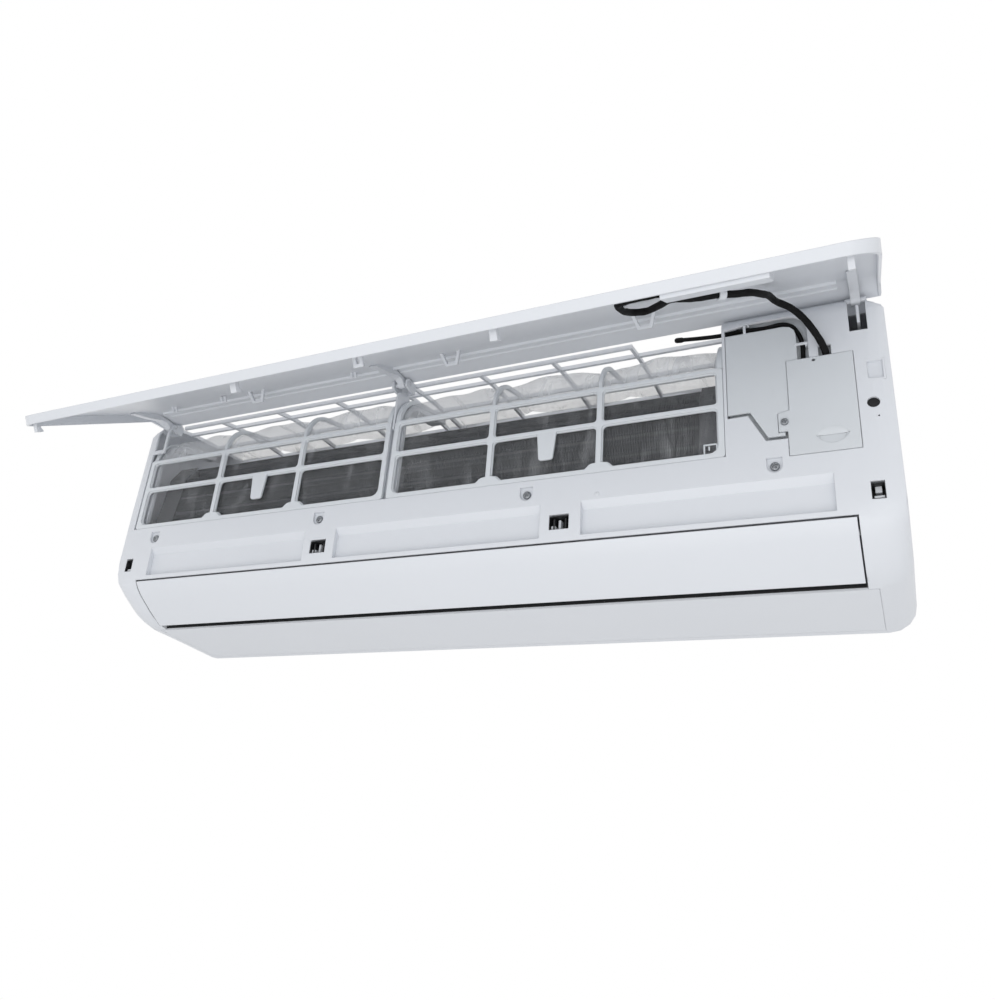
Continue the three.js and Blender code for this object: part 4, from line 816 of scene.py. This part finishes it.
screw_turns = {"cover_screw": 0.3, "casing_screw_1": 0.7, "casing_screw_2": 0.2, "casing_screw_3": 1.1,
               "casing_screw_4": 0.5}
head_height = 2.2
for node, turned in screw_turns.items():
    low, high = [[1000 * v for v in corner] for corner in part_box(node)]
    x, z = (low[0] + high[0]) / 2, (low[2] + high[2]) / 2
    shank = high[1] - low[1] - head_height
    screw = pan_head(node + "_head", x, z, low[1] + head_height, (high[0] - low[0]) / 2, shank, turned)
    stand_for(screw, node)

# ---- Clip prongs, cable clips and seals
# White prongs of the spring catches in the latch slots, hooks that hold the sensor's cable and the wiring, and foam
# strips that close the coil's ends.


def edged_block(name, low, high, material, edge=0.5):
    """A small block between two corners (mm) with rounded edges."""
    xs, ys, zs = zip(low, high)
    vertices = [(x / 1000, y / 1000, z / 1000) for x in xs for y in ys for z in zs]
    faces = [(0, 1, 3, 2), (4, 6, 7, 5), (0, 4, 5, 1), (2, 3, 7, 6), (0, 2, 6, 4), (1, 5, 7, 3)]
    block = solid_piece(name, vertices, faces, material, None)
    softened = block.modifiers.new("edge", "BEVEL")
    softened.width = edge / 1000
    softened.segments = 3
    return evaluated(block)


prongs, linings_and_shade_strips = [], []
slot_z, slot_front, slot_back = -68, -166.2, -154
liner_outside, liner_inside = 0.05, 0.55
for number in (1, 2, 3, 4):
    low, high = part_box(f"latch_clip_{number}")
    x = (low[0] + high[0]) * 500
    if number in (2, 3):
        wide, tall = 9.6, 6.55
        for a, b in ((-2.6, -0.2), (3.4, 5.8)):
            prongs.append(edged_block("prong", (x + a, -160.6, -72.2), (x + b, slot_back, -63), white_abs))
        prongs.append(edged_block("prong", (x - 8.6, -163.5, -73.4), (x - 4.4, -156, -69.5), white_abs))
    else:
        wide, tall = 5.2, 6.9
        prongs.append(edged_block("prong", (x - 2.6, -160.6, -67.5), (x + 2.6, -156, -60.4), white_abs))
        prongs.append(edged_block("prong", (x - 3.6, -164, -74.4), (x + 4.2, -156, -71.2), white_abs))
    for side in (-1, 1):
        u = sorted((side * (wide - liner_outside), side * (wide - liner_inside)))
        v = sorted((side * (tall - liner_outside), side * (tall - liner_inside)))
        upright = ((x + u[0], slot_front, slot_z - tall + liner_outside),
                   (x + u[1], slot_back, slot_z + tall - liner_outside))
        level = ((x - wide + liner_outside, slot_front, slot_z + v[0]),
                 (x + wide - liner_outside, slot_back, slot_z + v[1]))
        linings_and_shade_strips += [edged_block("liner", low, high, black_plastic, 0.15) for low, high in (upright, level)]
catches = gathered("catch_prongs", prongs)

# dark strips that paint the shade in the gaps round the louver: a band along each end of its face, and a strip on the
# outlet's lip
louver_face = [(-166, -88.3), (-161.4, -94.6), (-154.9, -101), (-146.9, -107), (-138.8, -113), (-128.8, -119.8),
               (-116.9, -127.3)]
shade_band = [(y + 0.5, z + 0.5) for y, z in louver_face] + [(y + 2.2, z + 2.6) for y, z in reversed(louver_face)]
shade_band = [(y / 1000, z / 1000) for y, z in shade_band]
for x0, x1 in ((-0.3864, -0.3860), (0.3860, 0.3864)):
    linings_and_shade_strips.append(solid_piece("painted_shade_strip", *prism(shade_band, x0, x1), black_plastic, None))
linings_and_shade_strips.append(edged_block("painted_shade_strip", (-385.8, -105, -127), (385.8, -104.5, -123.4), black_plastic, 0.1))
# the black slot linings and the painted shade strips of the louver's gaps are gathered in one object
slot_linings_and_shade_strips = gathered("slot_linings_and_shade_strips", linings_and_shade_strips)
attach(slot_linings_and_shade_strips, "unit")
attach(catches, "unit")
hooks = gathered("cable_hooks", [
    edged_block("cable_hook", (305.2, -167, 99.5), (307.6, -165.5, 108), white_abs),
    edged_block("cable_hook", (348.5, -167, 77.5), (359.5, -165.5, 80), white_abs),
    edged_block("hinge_post", (400.4, -164.4, 92), (403, -152, 110), white_abs),
])
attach(hooks, "unit")

# ribs, wire hooks and stops on the panel's back, placed on the closed panel and then turned open with it
hinge, opened = Vector((0, -0.1589, 0.1182)), Matrix.Rotation(math.radians(-60.7), 3, "X")
panel_parts = [edged_block("rib", (-388, -177.2, 96.5), (388, -173.8, 97.7), panel_abs, 0.4),
               edged_block("rib", (-388, -173.6, 110.4), (388, -170.6, 111.6), panel_abs, 0.4)]
for x, z in ((282, -2), (234, -30)):
    panel_parts.append(edged_block("wire_hook", (x - 1.8, -180.2, z - 1), (x + 1.8, -171.5, z + 1), panel_abs, 0.4))
    panel_parts.append(edged_block("wire_hook", (x - 1.8, -173, z - 5), (x + 1.8, -171.4, z + 1), panel_abs, 0.4))
for x, z in ((-270, 72), (-352, 80), (-100, 84), (330, 84)):
    panel_parts.append(edged_block("stop", (x - 4, -178.5, z - 1), (x + 4, -171.8, z + 1), panel_abs, 0.4))
    panel_parts.append(edged_block("stop", (x - 1, -178.5, z - 4), (x + 1, -172.6, z + 4), panel_abs, 0.3))
for part in panel_parts:
    for vertex in part.data.vertices:
        vertex.co = hinge + opened @ (vertex.co - hinge)
panel_ribs = gathered("panel_ribs", panel_parts)
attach(panel_ribs, "panel")

# the finger hold's two slopes: a lens between two arcs, deepest along its middle line
vertices, faces = [], []
hold_x, hold_z, hold_arc, hold_depth, slices = 373.4, -13.6, 14.7, 1.1, 28
shares = (0, 0.25, 0.5, 0.75, 0.97, 1.0, 1.35, 1.7, 2.0)
for k in range(slices + 1):
    x = hold_x - 12.8 + 25.6 * k / slices
    rise = max(hold_arc ** 2 - (x - hold_x) ** 2, 0) ** 0.5
    top, low = hold_z - 6.9 + rise, hold_z + 6.9 - rise
    for share in shares:
        if share <= 1:
            z, depth = top + (hold_z - top) * share, share ** 1.4
        else:
            z, depth = hold_z + (low - hold_z) * (share - 1), (2 - share) ** 0.8
        vertices.append(Vector((x, -167.38 + hold_depth * depth * min(1, (top - hold_z) / 4), z)) / 1000)
rows = len(shares)
for k in range(slices):
    for a in range(rows * k, rows * k + rows - 1):
        faces.append((a, a + 1, a + rows + 1, a + rows))
hold = solid_piece("finger_hold", vertices, faces, cover_plastic, None)
backing = hold.modifiers.new("backing", "SOLIDIFY")
backing.thickness = 0.00005
backing.offset = 1
hold = gathered("finger_hold_slopes", [evaluated(hold)], smooth=8)
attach(hold, "unit")

# a clip in the filter's corner, fillers in the seams of the bottom cover and a small boss on the bezel
clip = [edged_block("clip", low, high, filter_plastic, 0.3) for low, high in (
    ((266.5, -164.6, -16), (267.8, -163.2, -6.8)), ((277.5, -164.6, -16), (278.8, -163.2, -6.8)),
    ((266.5, -164.6, -8), (278.8, -163.2, -6.7)), ((270.8, -164.6, -13), (272, -163.2, -9)))]
corner_clip = gathered("filter_corner_clip", clip)
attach(corner_clip, frame["nodes"]["filter_right_frame"]["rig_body"])
section = [(-103.9, -128.85), (-60, -132.55), (-8.5, -137.15), (-8.5, -135.5), (-60, -131), (-103.9, -127.2)]
section = [(y / 1000, z / 1000) for y, z in section]
seam_fill = gathered("bottom_seams", [
    solid_piece("seam", *prism(section, x0, x1), white_abs, None)
    for x0, x1 in ((-0.39498, -0.39462), (0.39462, 0.39498))
])
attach(seam_fill, "unit")
boss = swept("bezel_boss", [Vector((0.1703, y, -0.0439)) for y in (-0.1668, -0.16715, -0.1673)],
             [0.0022, 0.0022, 0.0018], 24, white_abs, "unit")

# foam strips over the gaps at the coil's ends, one along the front pack and one along the slope above it
foam = grained("foam", (74, 75, 78), 0.9, grain_depth=0.0005, grain_size=0.002, cloud=0.3)
sections = (
    [(-0.1516, -0.0435), (-0.1502, -0.0435), (-0.1382, 0.0532), (-0.1396, 0.0532)],
    [(-0.1396, 0.0532), (-0.1382, 0.0532), (-0.1256, 0.0736), (-0.1270, 0.0736)],
)
seals = [solid_piece("seal", *prism(section, x0, x1), foam, None)
         for x0, x1 in ((-0.3990, -0.3726), (0.2588, 0.2792)) for section in sections]
seal_strips = gathered("coil_end_seals", seals, smooth=30)
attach(seal_strips, "unit")

# ---- Floor, backdrop and light
# A plain pale floor well below the unit, a white backdrop, even light from all round and three broad soft lamps in
# front: one above, one below the camera and one close under the unit.
floor_paint = bpy.data.materials.new("floor_paint")
floor_paint.use_nodes = True
floor_shader = floor_paint.node_tree.nodes["Principled BSDF"]
floor_shader.inputs["Base Color"].default_value = (0.86, 0.86, 0.86, 1)
floor_shader.inputs["Roughness"].default_value = 0.8
floor_size, floor_z = 4.0, -1.3
corners = [(-floor_size, -floor_size, floor_z), (floor_size, -floor_size, floor_z),
           (floor_size, floor_size, floor_z), (-floor_size, floor_size, floor_z)]
floor = solid_piece("floor", corners, [(0, 1, 2, 3)], floor_paint, None)

world = bpy.data.worlds.new("studio")
bpy.context.scene.world = world
world.use_nodes = True
sky = world.node_tree
seen = sky.nodes.new("ShaderNodeLightPath")
plain, glow = sky.nodes["Background"], sky.nodes.new("ShaderNodeBackground")
plain.inputs["Color"].default_value = (0.985, 0.99, 1, 1)
plain.inputs["Strength"].default_value = 0.78
glow.inputs["Color"].default_value = (1, 1, 1, 1)
glow.inputs["Strength"].default_value = 1.0
mix = sky.nodes.new("ShaderNodeMixShader")
visible = calc(sky, "MAXIMUM", seen.outputs["Is Camera Ray"], seen.outputs["Is Transmission Ray"])
visible = calc(sky, "MAXIMUM", visible, seen.outputs["Is Glossy Ray"])
wire(sky, [
    (visible, mix.inputs["Fac"]),
    (plain.outputs[0], mix.inputs[1]),
    (glow.outputs[0], mix.inputs[2]),
    (mix.outputs[0], sky.nodes["World Output"].inputs["Surface"]),
])


def soft_lamp(name, place, aim, size, power):
    """A round lamp, unseen by the camera, that faces its aim."""
    lamp_data = bpy.data.lights.new(name, "AREA")
    lamp_data.shape = "DISK"
    lamp_data.size = size
    lamp_data.energy = power
    lamp = bpy.data.objects.new(name, lamp_data)
    bpy.context.scene.collection.objects.link(lamp)
    lamp.location = place
    lamp.visible_camera = False
    lamp.rotation_euler = (Vector(aim) - Vector(place)).to_track_quat("-Z", "Y").to_euler()


soft_lamp("key", (0.7, -2.4, 1.2), (0, 0, 0), 2.2, 2)
soft_lamp("fill", (0.5, -2.3, -0.9), (0, 0, 0), 2.4, 12.5)
soft_lamp("low", (0.2, -0.8, -1.25), (0, -0.2, 0), 1.6, 7)

bpy.context.scene.view_settings.view_transform = "Standard"
